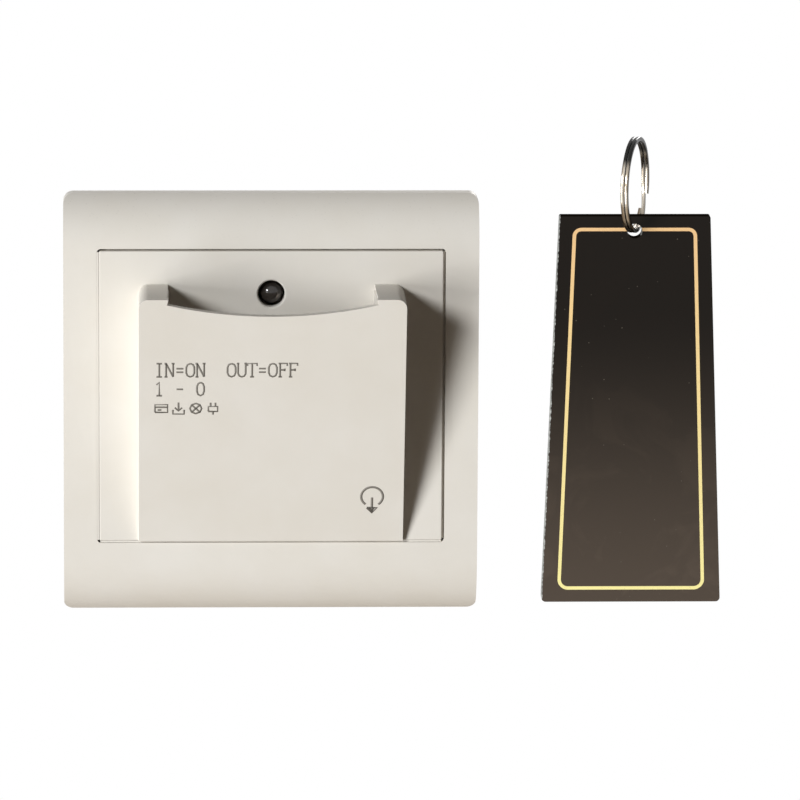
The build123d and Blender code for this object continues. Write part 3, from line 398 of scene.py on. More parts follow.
def goldMaterial(p):
    # Hot-stamped foil, a little mottled: yellow and brighter at the foot, redder towards the ring, a painted
    # sheen
    material, tree, shader = newMaterial("goldFoil")
    grain = addGrain(tree, *p["grain"])
    low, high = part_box("tag_border")
    # Painted sheen: the foil's tone runs from the foot to the ring
    along = rangeNode(tree, partsOf(tree, ownPlace(tree))["Z"], low.z, high.z)
    bright, dull = [blendColours(tree, along, *p[key]) for key in ("bright", "dull")]
    tone = blendColours(tree, grain["Cloud"], bright, dull)
    setFinish(tree, shader, blendColours(tree, grain["Speckle"], tone, p["worn"]),
              spreadNoise(tree, grain["Cloud"], *p["rough"]), metallic=p["metallic"])
    addBump(tree, shader, grain["Height"], p["depth"])
    return material


inkLook = {"tones": ((0.165, 0.15, 0.13), (0.215, 0.20, 0.175)), "worn": (0.34, 0.32, 0.28),
           "grain": (0.16, 1.6), "rough": 0.6, "depth": 0.01}


def inkMaterial(p):
    # Pad-printed grey, thin in places
    material, tree, shader = newMaterial("legendInk")
    grain = addGrain(tree, *p["grain"])
    tone = blendColours(tree, grain["Cloud"], *p["tones"])
    setFinish(tree, shader, blendColours(tree, grain["Speckle"], tone, p["worn"]), p["rough"])
    addBump(tree, shader, grain["Height"], p["depth"])
    return material


ringSizes = {"diameter": 19.99, "turnWidth": 0.75, "turnGap": 0.1, "wireHeight": 0.95, "turn": 17.0,
             "coils": 1.94, "step": 0.05, "edge": 0.18, "startAngle": 48.0}
ringLook = {
    "streaks": ((0.24, 0.18, 0.12), (0.80, 0.74, 0.64)), "scale": 2400.0, "drawnAlong": 0.9,
    "grimeAndShade": (0.035, 0.026, 0.018), "insideDepth": 2.0, "insideShare": 0.25, "sideSlope": (0.35, 0.75),
    "sideShare": 0.95, "brink": (0.55, 0.72), "brinkShare": 0.9, "paintedDarkTop": (0.022, 0.022, 0.020),
    "paintedDarkTopRise": (4.4, 6.6), "rough": (0.12, 0.26), "specular": 0.1, "depth": 0.01,
}


def dotAcross(tree, first, second):
    # Across the ring's axis only the Y and Z parts count
    return mathNode(tree, "ADD", *[product(tree, first[way], second[way]) for way in "YZ"])


def ringMaterial(p):
    # Nickel-plated flat wire with drawn lines along its turns, their tones painted reflection streaks; grime
    # inside, painted shade on the flat sides, outer edges and top
    material, tree, shader = newMaterial("ringNickel")
    low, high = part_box("split_ring")
    centred = addNode(tree, "ShaderNodeVectorMath", {0: ownPlace(tree), 1: (low + high) / 2},
                      operation="SUBTRACT").outputs["Vector"]
    # Place and normal are turned so that the ring's axis is X
    spot, slope = [partsOf(tree, mappedTo(tree, source, turn=(0, 0, ringSizes["turn"]), kind="VECTOR"))
                   for source in (centred, faceNormal(tree))]
    radius = mathNode(tree, "SQRT", dotAcross(tree, spot, spot))
    around = mathNode(tree, "ARCTAN2", spot["Z"], spot["Y"])
    lines = vectorOf(tree, {"X": product(tree, spot["X"], p["scale"]), "Y": product(tree, radius, p["scale"]),
                            "Z": product(tree, around, p["drawnAlong"])})
    # The drawn lines are toned dark and bright as painted reflection streaks
    drawn = noiseNode(tree, lines, 1.0, detail=3.0)
    tone = blendColours(tree, spreadNoise(tree, drawn, 0.0, 1.0), *p["streaks"])
    # A little grime on the inner face; the flat sides and outer edges are painted dark as shade
    inside = mathNode(tree, "LESS_THAN", dotAcross(tree, spot, slope), -p["insideDepth"] * mm)
    sideways = mathNode(tree, "ABSOLUTE", slope["X"])
    side = rangeNode(tree, sideways, *p["sideSlope"], toHigh=p["sideShare"])
    fromMiddle = mathNode(tree, "ABSOLUTE", spot["X"])
    brink = rangeNode(tree, fromMiddle, *[width * mm for width in p["brink"]], toHigh=p["brinkShare"])
    outer = mathNode(tree, "MAXIMUM", brink, side)
    dark = mathNode(tree, "MAXIMUM", product(tree, inside, p["insideShare"]), outer)
    # The top is painted dark as shade and loses its metal there
    paintedDarkTop = rangeNode(tree, spot["Z"], *[height * mm for height in p["paintedDarkTopRise"]], smooth=True)
    worn = blendColours(tree, paintedDarkTop, blendColours(tree, dark, tone, p["grimeAndShade"]), p["paintedDarkTop"])
    setFinish(tree, shader, worn, spreadNoise(tree, drawn, *p["rough"]),
              metallic=mathNode(tree, "SUBTRACT", 1.0, paintedDarkTop), specular=p["specular"])
    addBump(tree, shader, drawn, p["depth"])
    return material


windingWire = windingMaterial(windingLook)
boardMask = boardMaterial(boardLook)
fuseGlass = fuseMaterial(fuseLook)
lampLens = lensMaterial(lensLook)
tagAcrylic = tagMaterial(tagLook)
goldFoil = goldMaterial(goldLook)
legendInk = inkMaterial(inkLook)
ringChrome = ringMaterial(ringLook)
print("materials built")

# CAD nodes that keep their own shape take only a finish

nodeFinishes = {
    "circuit_board": boardMask, "led_leads": tinnedLead, "switch_blade": springCopper,
    "switch_contacts": springCopper, "relay_base": blackPlastic, "relay_pins": tinnedLead,
    "relay_winding": windingWire, "relay_core": softIron, "relay_yoke": softIron,
    "relay_armature": softIron, "relay_contacts": springCopper, "resistors": resistorLacquer,
    "diodes": diodeBlack, "varistor": varistorCoat, "fuse": fuseGlass,
    "terminal_clamps": clampBrass, "tag_border": goldFoil,
}
for name, material in nodeFinishes.items():
    nodes[name].data.materials.clear()
    nodes[name].data.materials.append(material)

# Mesh helpers

mergeGap = 0.002 * mm
flatAngle = math.radians(0.6)
sharpAngle = math.radians(32.0)


def finishPiece(piece, body, slot, *replaced):
    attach(piece, body)
    if replaced:
        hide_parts(*replaced)


def linkObject(name, data):
    made = bpy.data.objects.new(name, data)
    scene.collection.objects.link(made)
    return made


def meshObject(name, mesh, material):
    mesh.materials.clear()
    mesh.materials.append(material)
    return linkObject(name, mesh)


def bakedMesh(piece):
    bpy.context.view_layer.update()
    evaluated = piece.evaluated_get(bpy.context.evaluated_depsgraph_get())
    return bpy.data.meshes.new_from_object(evaluated)


def applyModifiers(piece):
    mesh = bakedMesh(piece)
    piece.modifiers.clear()
    piece.data = mesh


# Moulded pieces: copies of CAD nodes with their edges broken as a mould leaves them

# The seam round the panel and the lamp's hole in it, with each bevel's share of the full width
seam = {"halfWidth": 35.65, "halfHeight": 30.6, "gap": 0.45, "clear": 0.04, "face": -9.3, "thick": 0.4,
        "left": 0.03, "right": 1.1, "top": 1.5, "bottom": 0.3, "lap": 0.02, "short": 0.2,
        "holeUp": 21.6, "holeRadius": 2.7, "fine": 0.17, "outline": 0.58,
        "flush": 0.02, "nearSeam": 0.5, "nearHole": 0.4}


def rimShare(edge, p):
    # The lamp's hole takes the full width, the panel's front outline a share, other edges a fine one
    shares = []
    for vertex in edge.verts:
        x, y, z = vertex.co / mm
        bySeam = max(abs(x) - p["halfWidth"], abs(z) - p["halfHeight"])
        byHole = math.hypot(x, z - p["holeUp"]) - p["holeRadius"]
        onHole = abs(byHole) < p["nearHole"]
        onOutline = abs(bySeam) <= p["nearSeam"]
        if abs(y - p["face"]) > p["flush"] or not (onHole or onOutline):
            return p["fine"]
        shares.append(1.0 if onHole else p["outline"])
    return min(shares)


def softened(name, node, body, slot, material, edge, weighted):
    mesh = nodes[node].data.copy()
    work = bmesh.new()
    work.from_mesh(mesh)
    bmesh.ops.remove_doubles(work, verts=work.verts, dist=mergeGap)
    bmesh.ops.dissolve_limit(work, angle_limit=flatAngle, verts=work.verts, edges=work.edges)
    for face in work.faces:
        face.smooth = True
    if weighted:
        weight = work.edges.layers.float.new("bevel_weight_edge")
        for item in work.edges:
            if len(item.link_faces) == 2 and item.calc_face_angle(0) > sharpAngle:
                item[weight] = rimShare(item, seam)
    work.to_mesh(mesh)
    work.free()
    if "custom_normal" in mesh.attributes:
        mesh.attributes.remove(mesh.attributes["custom_normal"])
    piece = meshObject(name, mesh, material)
    bevel = piece.modifiers.new("edges", "BEVEL")
    bevel.width = edge * mm
    bevel.segments = 2
    bevel.limit_method = "WEIGHT" if weighted else "ANGLE"
    bevel.angle_limit = sharpAngle
    bevel.harden_normals = True
    bevel.use_clamp_overlap = not weighted
    bevel.miter_outer = "MITER_ARC"
    applyModifiers(piece)
    finishPiece(piece, body, slot, node)


# Each piece: node, body, slot, material and width of its edges
softEdges = {
    "surround": ("outer_frame", "frame_cover", "cover_white", coverPlastic, 0.26),
    "pocketPanel": ("front_panel", "panel_cover", "cover_white", panelPlastic, 0.45),
    "wallPlate": ("base_plate", "base", "plate_white", platePlastic, 0.15),
    "backBox": ("rear_housing", "base", "housing_white", housingPlastic, 0.25),
    "terminalBlock": ("terminal_housing", "base", "housing_white", terminalPlastic, 0.20),
    "pressLever": ("card_lever", "lever", "lever_plastic", leverPlastic, 0.15),
    "leverPin": ("lever_pin", "base", "pin_steel", pinSteel, 0.12),
    "switchShell": ("switch_case", "base", "switch_black", blackPlastic, 0.12),
    "switchButton": ("switch_plunger", "plunger", "plunger_red", redPlastic, 0.12),
    "relayShell": ("relay_case", "base", "relay_blue", relayBlue, 0.15),
    "coilBobbin": ("relay_bobbin", "base", "bobbin_plastic", bobbinPlastic, 0.12),
    "filmCapacitor": ("film_capacitor", "base", "film_yellow", filmYellow, 0.25),
    "canCapacitors": ("smoothing_capacitors", "base", "can_sleeve", sleevePlastic, 0.35),
    "timerChip": ("timer_chip", "base", "switch_black", blackPlastic, 0.08),
    "tagPlate": ("key_tag", "tag", "tag_black", tagAcrylic, 0.12),
}
# Only the panel's edges differ in width
for name, (node, body, slot, material, edge) in softEdges.items():
    softened(name, node, body, slot, material, edge, name == "pocketPanel")
print("moulded pieces softened")

# Ledge of the frame that shows at the bottom of the seam round the panel


def seamLedge(p):
    inner, outer = p["clear"], p["gap"] - p["clear"]
    wide, high = p["halfWidth"], p["halfHeight"]
    reach, rise = wide - p["short"], high - p["short"]
    # Left, right, top and bottom, each with its depth under the panel's face
    strips = [(-wide - p["gap"] - p["lap"], -wide - inner, -rise, rise, p["left"]),
              (wide + inner, wide + outer, -rise, rise, p["right"]),
              (-reach, reach, high + inner, high + outer, p["top"]),
              (-reach, reach, -high - outer, -high - inner, p["bottom"])]
    mesh = bpy.data.meshes.new("seamLedge")
    work = bmesh.new()
    for x0, x1, z0, z1, deep in strips:
        size = Vector((x1 - x0, p["thick"], z1 - z0)) * mm
        spot = Vector(((x0 + x1) / 2, p["face"] + deep + p["thick"] / 2, (z0 + z1) / 2)) * mm
        made = bmesh.ops.create_cube(work, size=1.0)["verts"]
        bmesh.ops.scale(work, vec=size, verts=made)
        bmesh.ops.translate(work, vec=spot, verts=made)
    work.to_mesh(mesh)
    work.free()
    return meshObject("seamLedge", mesh, coverPlastic)


finishPiece(seamLedge(seam), "frame_cover", "cover_white")

# Geometry Nodes helpers


def newTree(name, inputs):
    tree = bpy.data.node_groups.new(name, "GeometryNodeTree")
    tree.interface.new_socket("Geometry", in_out="INPUT", socket_type="NodeSocketGeometry")
    for label, kind, value in inputs:
        socket = tree.interface.new_socket(label, in_out="INPUT", socket_type="NodeSocket" + kind)
        if value is not None:
            socket.default_value = value
    tree.interface.new_socket("Geometry", in_out="OUTPUT", socket_type="NodeSocketGeometry")
    return tree, tree.nodes.new("NodeGroupInput").outputs, tree.nodes.new("NodeGroupOutput")


def closeTree(tree, given, made, geometry):
    # Realize, set the finish and hand the mesh out
    realize = addNode(tree, "GeometryNodeRealizeInstances", {"Geometry": geometry})
    finish = addNode(tree, "GeometryNodeSetMaterial",
                     {"Geometry": realize.outputs["Geometry"], "Material": given["Finish"]})
    feed(tree, made, {"Geometry": finish.outputs["Geometry"]})


def growMesh(name, source, tree, values):
    modifier = source.modifiers.new("grow", "NODES")
    modifier.node_group = tree
    for item in tree.interface.items_tree:
        if item.item_type == "SOCKET" and item.in_out == "INPUT" and item.name in values:
            modifier[item.identifier] = values[item.name]
    mesh = bakedMesh(source)
    source.modifiers.clear()
    bpy.data.objects.remove(source)
    return linkObject(name, mesh)


def strokeTree():
    # Printed or raised lines that follow their strokes
    tree, given, made = newTree(
        "printedStrokes",
        [("Stroke Width", "Float", 0.4 * mm), ("Stroke Height", "Float", 0.03 * mm),
         ("Facing", "Vector", (0, -1, 0)), ("Finish", "Material", None)],
    )
    facing = addNode(tree, "GeometryNodeSetCurveNormal",
                     {"Curve": given["Geometry"], "Normal": given["Facing"]}, mode="FREE")
    profile = addNode(tree, "GeometryNodeCurvePrimitiveQuadrilateral",
                      {"Width": given["Stroke Height"], "Height": given["Stroke Width"]})
    sweep = addNode(tree, "GeometryNodeCurveToMesh", {
        "Curve": facing.outputs["Curve"], "Profile Curve": profile.outputs["Curve"], "Fill Caps": True,
    })
    closeTree(tree, given, made, sweep.outputs["Mesh"])
    return tree


def scatterTree():
    # One small part repeated at each given point
    tree, given, made = newTree(
        "repeatedPart", [("Part", "Object", None), ("Turn Step", "Float", 0.0), ("Finish", "Material", None)],
    )
    part = addNode(tree, "GeometryNodeObjectInfo", {"Object": given["Part"], "As Instance": True})
    index = tree.nodes.new("GeometryNodeInputIndex").outputs["Index"]
    turn = vectorOf(tree, {"Y": product(tree, index, given["Turn Step"])})
    place = addNode(tree, "GeometryNodeInstanceOnPoints", {
        "Points": given["Geometry"], "Instance": part.outputs["Geometry"], "Rotation": turn,
    })
    closeTree(tree, given, made, place.outputs["Instances"])
    return tree


printedStrokes = strokeTree()
repeatedPart = scatterTree()

# Legend on the pocket and its pictogram

# Each letter is a set of strokes on its field
letterField = {"width": 4, "height": 6}
letterStrokes = {
    "I": [[(0.9, 0), (3.1, 0)], [(0.9, 6), (3.1, 6)], [(2, 0), (2, 6)]],
    "N": [[(0.6, 0), (0.6, 6)], [(0.6, 6), (3.4, 0)], [(3.4, 0), (3.4, 6)], [(0, 6), (0.8, 6)],
          [(0, 0), (1.2, 0)], [(2.8, 6), (4, 6)]],
    "O": [[(2, 6), (3.1, 5.5), (3.6, 4.2), (3.6, 1.8), (3.1, 0.5), (2, 0), (0.9, 0.5), (0.4, 1.8),
           (0.4, 4.2), (0.9, 5.5), (2, 6)]],
    "U": [[(0.5, 6), (0.5, 1.4), (1.1, 0.3), (2, 0), (2.9, 0.3), (3.5, 1.4), (3.5, 6)], [(0, 6), (1, 6)],
          [(3, 6), (4, 6)]],
    "T": [[(0.1, 4.9), (0.1, 6), (3.9, 6), (3.9, 4.9)], [(2, 6), (2, 0)], [(1.2, 0), (2.8, 0)]],
    "F": [[(3.6, 4.9), (3.6, 6), (0.2, 6)], [(0.8, 6), (0.8, 0)], [(0.2, 0), (1.6, 0)],
          [(0.8, 3.1), (2.6, 3.1)], [(2.6, 3.7), (2.6, 2.5)]],
    "0": [[(2, 6), (3, 5.4), (3.4, 4), (3.4, 2), (3, 0.6), (2, 0), (1, 0.6), (0.6, 2), (0.6, 4),
           (1, 5.4), (2, 6)]],
    "1": [[(0.9, 4.9), (2, 6), (2, 0)], [(0.9, 0), (3.1, 0)]],
    "2": [[(0.5, 4.6), (0.9, 5.6), (2, 6), (3.2, 5.6), (3.5, 4.5), (3, 3.2), (0.5, 0), (3.5, 0), (3.5, 0.8)]],
    "3": [[(0.5, 5.2), (1.2, 5.9), (2.6, 5.9), (3.4, 5), (3.2, 3.8), (1.8, 3.1), (3.3, 2.5), (3.6, 1.3),
           (2.9, 0.2), (1.3, 0), (0.4, 0.8)]],
    "4": [[(2.8, 0), (2.8, 6), (0.3, 1.9), (3.8, 1.9)], [(2.1, 0), (3.5, 0)]],
    "-": [[(0.7, 2.9), (3.3, 2.9)]],
    "=": [[(0.6, 3.7), (3.4, 3.7)], [(0.6, 2.1), (3.4, 2.1)]],
}

# Small signs on a field 6 wide and 6 high: card, push-in arrow, lamp and plug
signStrokes = [
    [[(0.3, 1.2), (5.5, 1.2), (5.5, 4.8), (0.3, 4.8), (0.3, 1.2)], [(0.3, 3.6), (5.5, 3.6)],
     [(1.4, 2.3), (3.0, 2.3)]],
    [[(2.9, 5.8), (2.9, 1.9)], [(1.4, 3.4), (2.9, 1.9), (4.4, 3.4)],
     [(0.6, 2.4), (0.6, 0.4), (5.2, 0.4), (5.2, 2.4)]],
    [[(2.9, 5.4), (4.6, 4.7), (5.3, 3.0), (4.6, 1.3), (2.9, 0.6), (1.2, 1.3), (0.5, 3.0), (1.2, 4.7),
      (2.9, 5.4)], [(1.2, 4.7), (4.6, 1.3)], [(1.2, 1.3), (4.6, 4.7)]],
    [[(1.0, 1.6), (4.8, 1.6), (4.8, 3.9), (1.0, 3.9), (1.0, 1.6)], [(1.9, 5.7), (1.9, 3.9)],
     [(3.9, 5.7), (3.9, 3.9)], [(2.9, 1.6), (2.9, 0.1)]],
]


def strokeCurve(name, strokes, toPlace):
    curve = bpy.data.curves.new(name, "CURVE")
    curve.dimensions = "3D"
    for points in strokes:
        spline = curve.splines.new("POLY")
        spline.points.add(len(points) - 1)
        for point, (across, up) in zip(spline.points, points):
            point.co = (*toPlace(across, up), 1.0)
    return linkObject(name, curve)


def drawStrokes(name, strokes, toPlace, facing, width, height, finish):
    return growMesh(name, strokeCurve(name, strokes, toPlace), printedStrokes, {
        "Stroke Width": width * mm, "Stroke Height": height * mm, "Facing": facing, "Finish": finish,
    })


def lineOfText(text, left, foot, height, advance):
    unit = height / letterField["height"]
    strokes = []
    for place, letter in enumerate(text):
        for points in letterStrokes.get(letter, []):
            strokes.append([(left + place * advance + x * unit, foot + y * unit) for x, y in points])
    return strokes


legend = {
    "left": -24.3, "capHeight": 3.1, "advance": 2.12,
    "lines": (("IN=ON  OUT=OFF", 38.9), ("1 - 0", 34.5)),
    "stroke": 0.40, "ink": 0.03, "signs": 30.0, "signStep": 3.55, "signScale": 0.5,
    "faceFoot": -10.05, "rimDepth": 0.01,
}
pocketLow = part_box("front_panel")[0]
rimEnd = pocketLow.y + legend["rimDepth"] * mm
pocketRim = [v.co.z for v in nodes["front_panel"].data.vertices if v.co.y < rimEnd]
pocketFoot = Vector((0, legend["faceFoot"] * mm, pocketLow.z))
pocketRise = (Vector((0, pocketLow.y, max(pocketRim))) - pocketFoot).normalized()
pocketOut = Vector((1, 0, 0)).cross(pocketRise)


def onPocket(across, up):
    return pocketFoot + Vector((across * mm, 0, 0)) + pocketRise * up * mm


legendStrokes = []
for text, foot in legend["lines"]:
    legendStrokes += lineOfText(text, legend["left"], foot, legend["capHeight"], legend["advance"])
for place, sign in enumerate(signStrokes):
    left = legend["left"] + place * legend["signStep"]
    for points in sign:
        legendStrokes.append([(left + x * legend["signScale"], legend["signs"] + y * legend["signScale"])
                              for x, y in points])
legendText = drawStrokes("legendText", legendStrokes, onPocket, pocketOut, legend["stroke"], legend["ink"],
                         legendInk)
finishPiece(legendText, "panel_cover", "cover_white")

pictogram = {"across": 20.9, "up": 10.6, "radius": 2.25, "gap": 36, "steps": 40, "tail": 4.1, "head": 1.05,
             "headHeight": 1.15, "headShares": (1.0, 0.55), "start": 0.2, "short": 0.3, "stroke": 0.5}


def pictogramStrokes(p):
    ring = []
    for step in range(p["steps"] + 1):
        angle = math.radians(-90 + p["gap"] + (360 - 2 * p["gap"]) * step / p["steps"])
        ring.append((p["across"] + p["radius"] * math.cos(angle), p["up"] + p["radius"] * math.sin(angle)))
    tip = p["up"] - p["tail"] + p["short"]
    shaft = [(p["across"], p["up"] - p["start"]), (p["across"], tip)]
    heads = []
    for share in p["headShares"]:
        base = tip + p["headHeight"]
        half = p["head"] * share
        heads.append([(p["across"] - half, base), (p["across"], base - p["headHeight"] * share),
                      (p["across"] + half, base), (p["across"] - half, base)])
    return [ring, shaft] + heads


pictogramPiece = drawStrokes("pictogram", pictogramStrokes(pictogram), onPocket, pocketOut,
                             pictogram["stroke"], legend["ink"], legendInk)
finishPiece(pictogramPiece, "panel_cover", "cover_white")
print("legend printed")

# Indicator lamp: clear body with its dark cup, chip and posts inside


def turned(name, outline, steps, origin, material):
    # Spins an outline of (radius, depth) about an axis along Y
    mesh = bpy.data.meshes.new(name)
    work = bmesh.new()
    rings = []
    for radius, depth in outline:
        if not radius:
            rings.append([work.verts.new(origin + Vector((0, depth * mm, 0)))])
            continue
        ring = []
        for step in range(steps):
            angle = 2 * math.pi * step / steps
            offset = Vector((radius * math.cos(angle), depth, radius * math.sin(angle))) * mm
            ring.append(work.verts.new(origin + offset))
        rings.append(ring)
    for first, second in zip(rings, rings[1:]):
        for step in range(steps):
            after = (step + 1) % steps
            corners = [first[step % len(first)], first[after % len(first)],
                       second[after % len(second)], second[step % len(second)]]
            unique = list(dict.fromkeys(corners))
            if len(unique) > 2:
                work.faces.new(unique)
    bmesh.ops.recalc_face_normals(work, faces=work.faces)
    for face in work.faces:
        face.smooth = True
    work.to_mesh(mesh)
    work.free()
    return meshObject(name, mesh, material)


lamp = {"radius": 2.5, "flange": 2.9, "flangeHeight": 1.0, "length": 8.6, "domeSteps": 14, "edge": 0.12,
        "sides": 48, "cupRadius": 1.25, "cupDepth": 3.4, "cupFloor": 0.55, "cupLip": 0.2, "cupTaper": 0.1,
        "cupHeight": 1.1, "cupSides": 32, "chip": 0.32, "stemFrom": 1.6, "stemRadii": (0.45, 0.4),
        "stemShort": 0.4}
lampLow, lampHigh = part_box("led_lamp")
lampFront = Vector(((lampLow.x + lampHigh.x) / 2, lampLow.y, (lampLow.z + lampHigh.z) / 2))


def lampOutline(p):
    points = [(0.0, 0.0)]
    for step in range(1, p["domeSteps"] + 1):
        angle = math.radians(90 * step / p["domeSteps"])
        points.append((p["radius"] * math.sin(angle), p["radius"] * (1 - math.cos(angle))))
    flangeStart, edge = p["length"] - p["flangeHeight"], p["edge"]
    points += [(p["radius"], flangeStart - edge), (p["radius"] + edge, flangeStart),
               (p["flange"] - edge, flangeStart), (p["flange"], flangeStart + edge),
               (p["flange"], p["length"] - edge), (p["flange"] - edge, p["length"]), (0.0, p["length"])]
    return points


def cupOutline(p):
    seat, radius, back = p["cupDepth"], p["cupRadius"], p["length"] - p["stemShort"]
    bowl = seat + p["cupFloor"]
    stemFront, stemBack = p["stemRadii"]
    return [(0.0, bowl), (p["chip"], bowl), (radius - p["cupLip"], seat), (radius, seat),
            (radius - p["cupTaper"], seat + p["cupHeight"]), (stemFront, seat + p["stemFrom"]),
            (stemBack, back), (0.0, back)]


lampBody = turned("lampBody", lampOutline(lamp), lamp["sides"], lampFront, lampLens)
finishPiece(lampBody, "base", "lamp_lens", "led_lamp")
lampCup = turned("lampCup", cupOutline(lamp), lamp["cupSides"], lampFront, tinnedLead)
finishPiece(lampCup, "base", "lead_tin")
print("lamp built")

# Screws, each kind made once and repeated at its own points

headForm = {"sides": 32, "steps": 8, "flat": 0.55, "rise": 0.55, "edge": 0.06, "root": 0.82, "rootAt": 0.3,
            "crestAt": 0.75, "tip": 0.7, "tipLength": 0.1, "cross": 1.25, "slot": 2.6}


def screwOutline(p):
    # A pan head over a threaded shaft, as (radius, depth)
    form, radius, height, shaft = headForm, p["radius"], p["height"], p["shaft"]
    outline = [(0.0, 0.0)]
    for step in range(1, form["steps"] + 1):
        angle = math.radians(90 * step / form["steps"])
        outline.append((radius * (form["flat"] + (1 - form["flat"]) * math.sin(angle)),
                        height * form["rise"] * (1 - math.cos(angle))))
    outline += [(radius, height - form["edge"]), (radius - form["edge"], height), (shaft, height)]
    for turn in range(int((p["shaftLength"] - height) / p["pitch"])):
        start = height + turn * p["pitch"]
        outline += [(shaft * form["root"], start + p["pitch"] * form["rootAt"]),
                    (shaft, start + p["pitch"] * form["crestAt"])]
    return outline + [(shaft * form["tip"], p["shaftLength"] - form["tipLength"]), (0.0, p["shaftLength"])]


def screwMaster(name, p):
    # One screw facing -Y at the origin, with its driven slot or cross cut in
    screw = turned(name, screwOutline(p), headForm["sides"], Vector((0, 0, 0)), screwSteel)
    cutters = []
    for turn in ((0, 90) if p["cross"] else (0,)):
        mesh = bpy.data.meshes.new(name + "Cut")
        work = bmesh.new()
        bmesh.ops.create_cube(work, size=1.0)
        long = p["radius"] * headForm["cross" if p["cross"] else "slot"]
        bmesh.ops.scale(work, vec=Vector((long, p["slotDepth"] * 2, p["slotWidth"])) * mm, verts=work.verts)
        bmesh.ops.rotate(work, matrix=Matrix.Rotation(math.radians(turn), 3, "Y"), verts=work.verts)
        work.to_mesh(mesh)
        work.free()
        cutter = meshObject(name + "Cut", mesh, screwSteel)
        cut = screw.modifiers.new("cut", "BOOLEAN")
        cut.operation = "DIFFERENCE"
        cut.solver = "EXACT"
        cut.object = cutter
        cutters.append(cutter)
    applyModifiers(screw)
    for cutter in cutters:
        bpy.data.objects.remove(cutter)
    if p["fromBack"]:
        screw.data.transform(Matrix.Rotation(math.radians(180), 4, "Z"))
    return screw


def solidBoxes(node):
    # Lowest and highest corner of each separate solid of a node, from the bottom up
    work = bmesh.new()
    work.from_mesh(nodes[node].data)
    bmesh.ops.remove_doubles(work, verts=work.verts, dist=mergeGap)
    seen, found = set(), []
    for start in work.verts:
        if start in seen:
            continue
        group, waiting = [], [start]
        seen.add(start)
        while waiting:
            vertex = waiting.pop()
            group.append(vertex.co.copy())
            for edge in vertex.link_edges:
                other = edge.other_vert(vertex)
                if other not in seen:
                    seen.add(other)
                    waiting.append(other)
        found.append([Vector([pick(p[k] for p in group) for k in range(3)]) for pick in (min, max)])
    work.free()
    return sorted(found, key=lambda pair: (round(pair[0].z, 4), pair[0].x))


screwKinds = {
    "housingScrews": {
        "node": "housing_screws", "radius": 2.3, "height": 1.3, "slotWidth": 0.7, "slotDepth": 0.6,
        "cross": True, "shaft": 1.3, "shaftLength": 11.2, "pitch": 0.9, "fromBack": False, "turn": 0.6,
    },
    "boardScrews": {
        "node": "board_screws", "radius": 1.9, "height": 1.4, "slotWidth": 0.6, "slotDepth": 0.6,
        "cross": True, "shaft": 1.0, "shaftLength": 8.4, "pitch": 0.8, "fromBack": False, "turn": 0.9,
    },
    "terminalScrews": {
        "node": "terminal_screws", "radius": 2.1, "height": 1.6, "slotWidth": 0.7, "slotDepth": 0.6,
        "cross": False, "shaft": 1.5, "shaftLength": 8.6, "pitch": 0.7, "fromBack": True, "turn": 0.5,
    },
}
for name, kind in screwKinds.items():
    master = screwMaster(name + "Master", kind)
    points = []
    for lows, highs in solidBoxes(kind["node"]):
        depth = highs.y if kind["fromBack"] else lows.y
        points.append(((lows.x + highs.x) / 2, depth, (lows.z + highs.z) / 2))
    mesh = bpy.data.meshes.new(name + "Points")
    mesh.from_pydata(points, [], [])
    screws = growMesh(name, linkObject(name + "Points", mesh), repeatedPart,
                      {"Part": master, "Turn Step": kind["turn"], "Finish": screwSteel})
    bpy.data.objects.remove(master)
    finishPiece(screws, "base", "screw_steel", kind["node"])
print("screws set")

# Numbers moulded beside the terminals, read from the back

terminalMarks = {"height": 1.7, "stroke": 0.28, "relief": 0.2, "above": 1.3}
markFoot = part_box("terminal_housing")[1].z + terminalMarks["above"] * mm
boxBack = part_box("rear_housing")[1].y


def onBack(across, up):
    return Vector((-across * mm, boxBack, markFoot + up * mm))


def markStrokes(p):
    strokes = []
    half = p["height"] * letterField["width"] / letterField["height"] / 2
    screwBoxes = sorted(solidBoxes("terminal_screws"), key=lambda pair: -pair[0].x)
    for place, (lows, highs) in enumerate(screwBoxes):
        centre = -(lows.x + highs.x) / 2 / mm
        strokes += lineOfText(str(place + 1), centre - half, 0.0, p["height"], 0.0)
    return strokes


terminalNumbers = drawStrokes("terminalNumbers", markStrokes(terminalMarks), onBack, (0.0, 1.0, 0.0),
                              terminalMarks["stroke"], terminalMarks["relief"], housingPlastic)
finishPiece(terminalNumbers, "base", "housing_white")
print("terminal numbers raised")

# Split ring: one flat wire wound twice, crossing from turn to turn in a short step


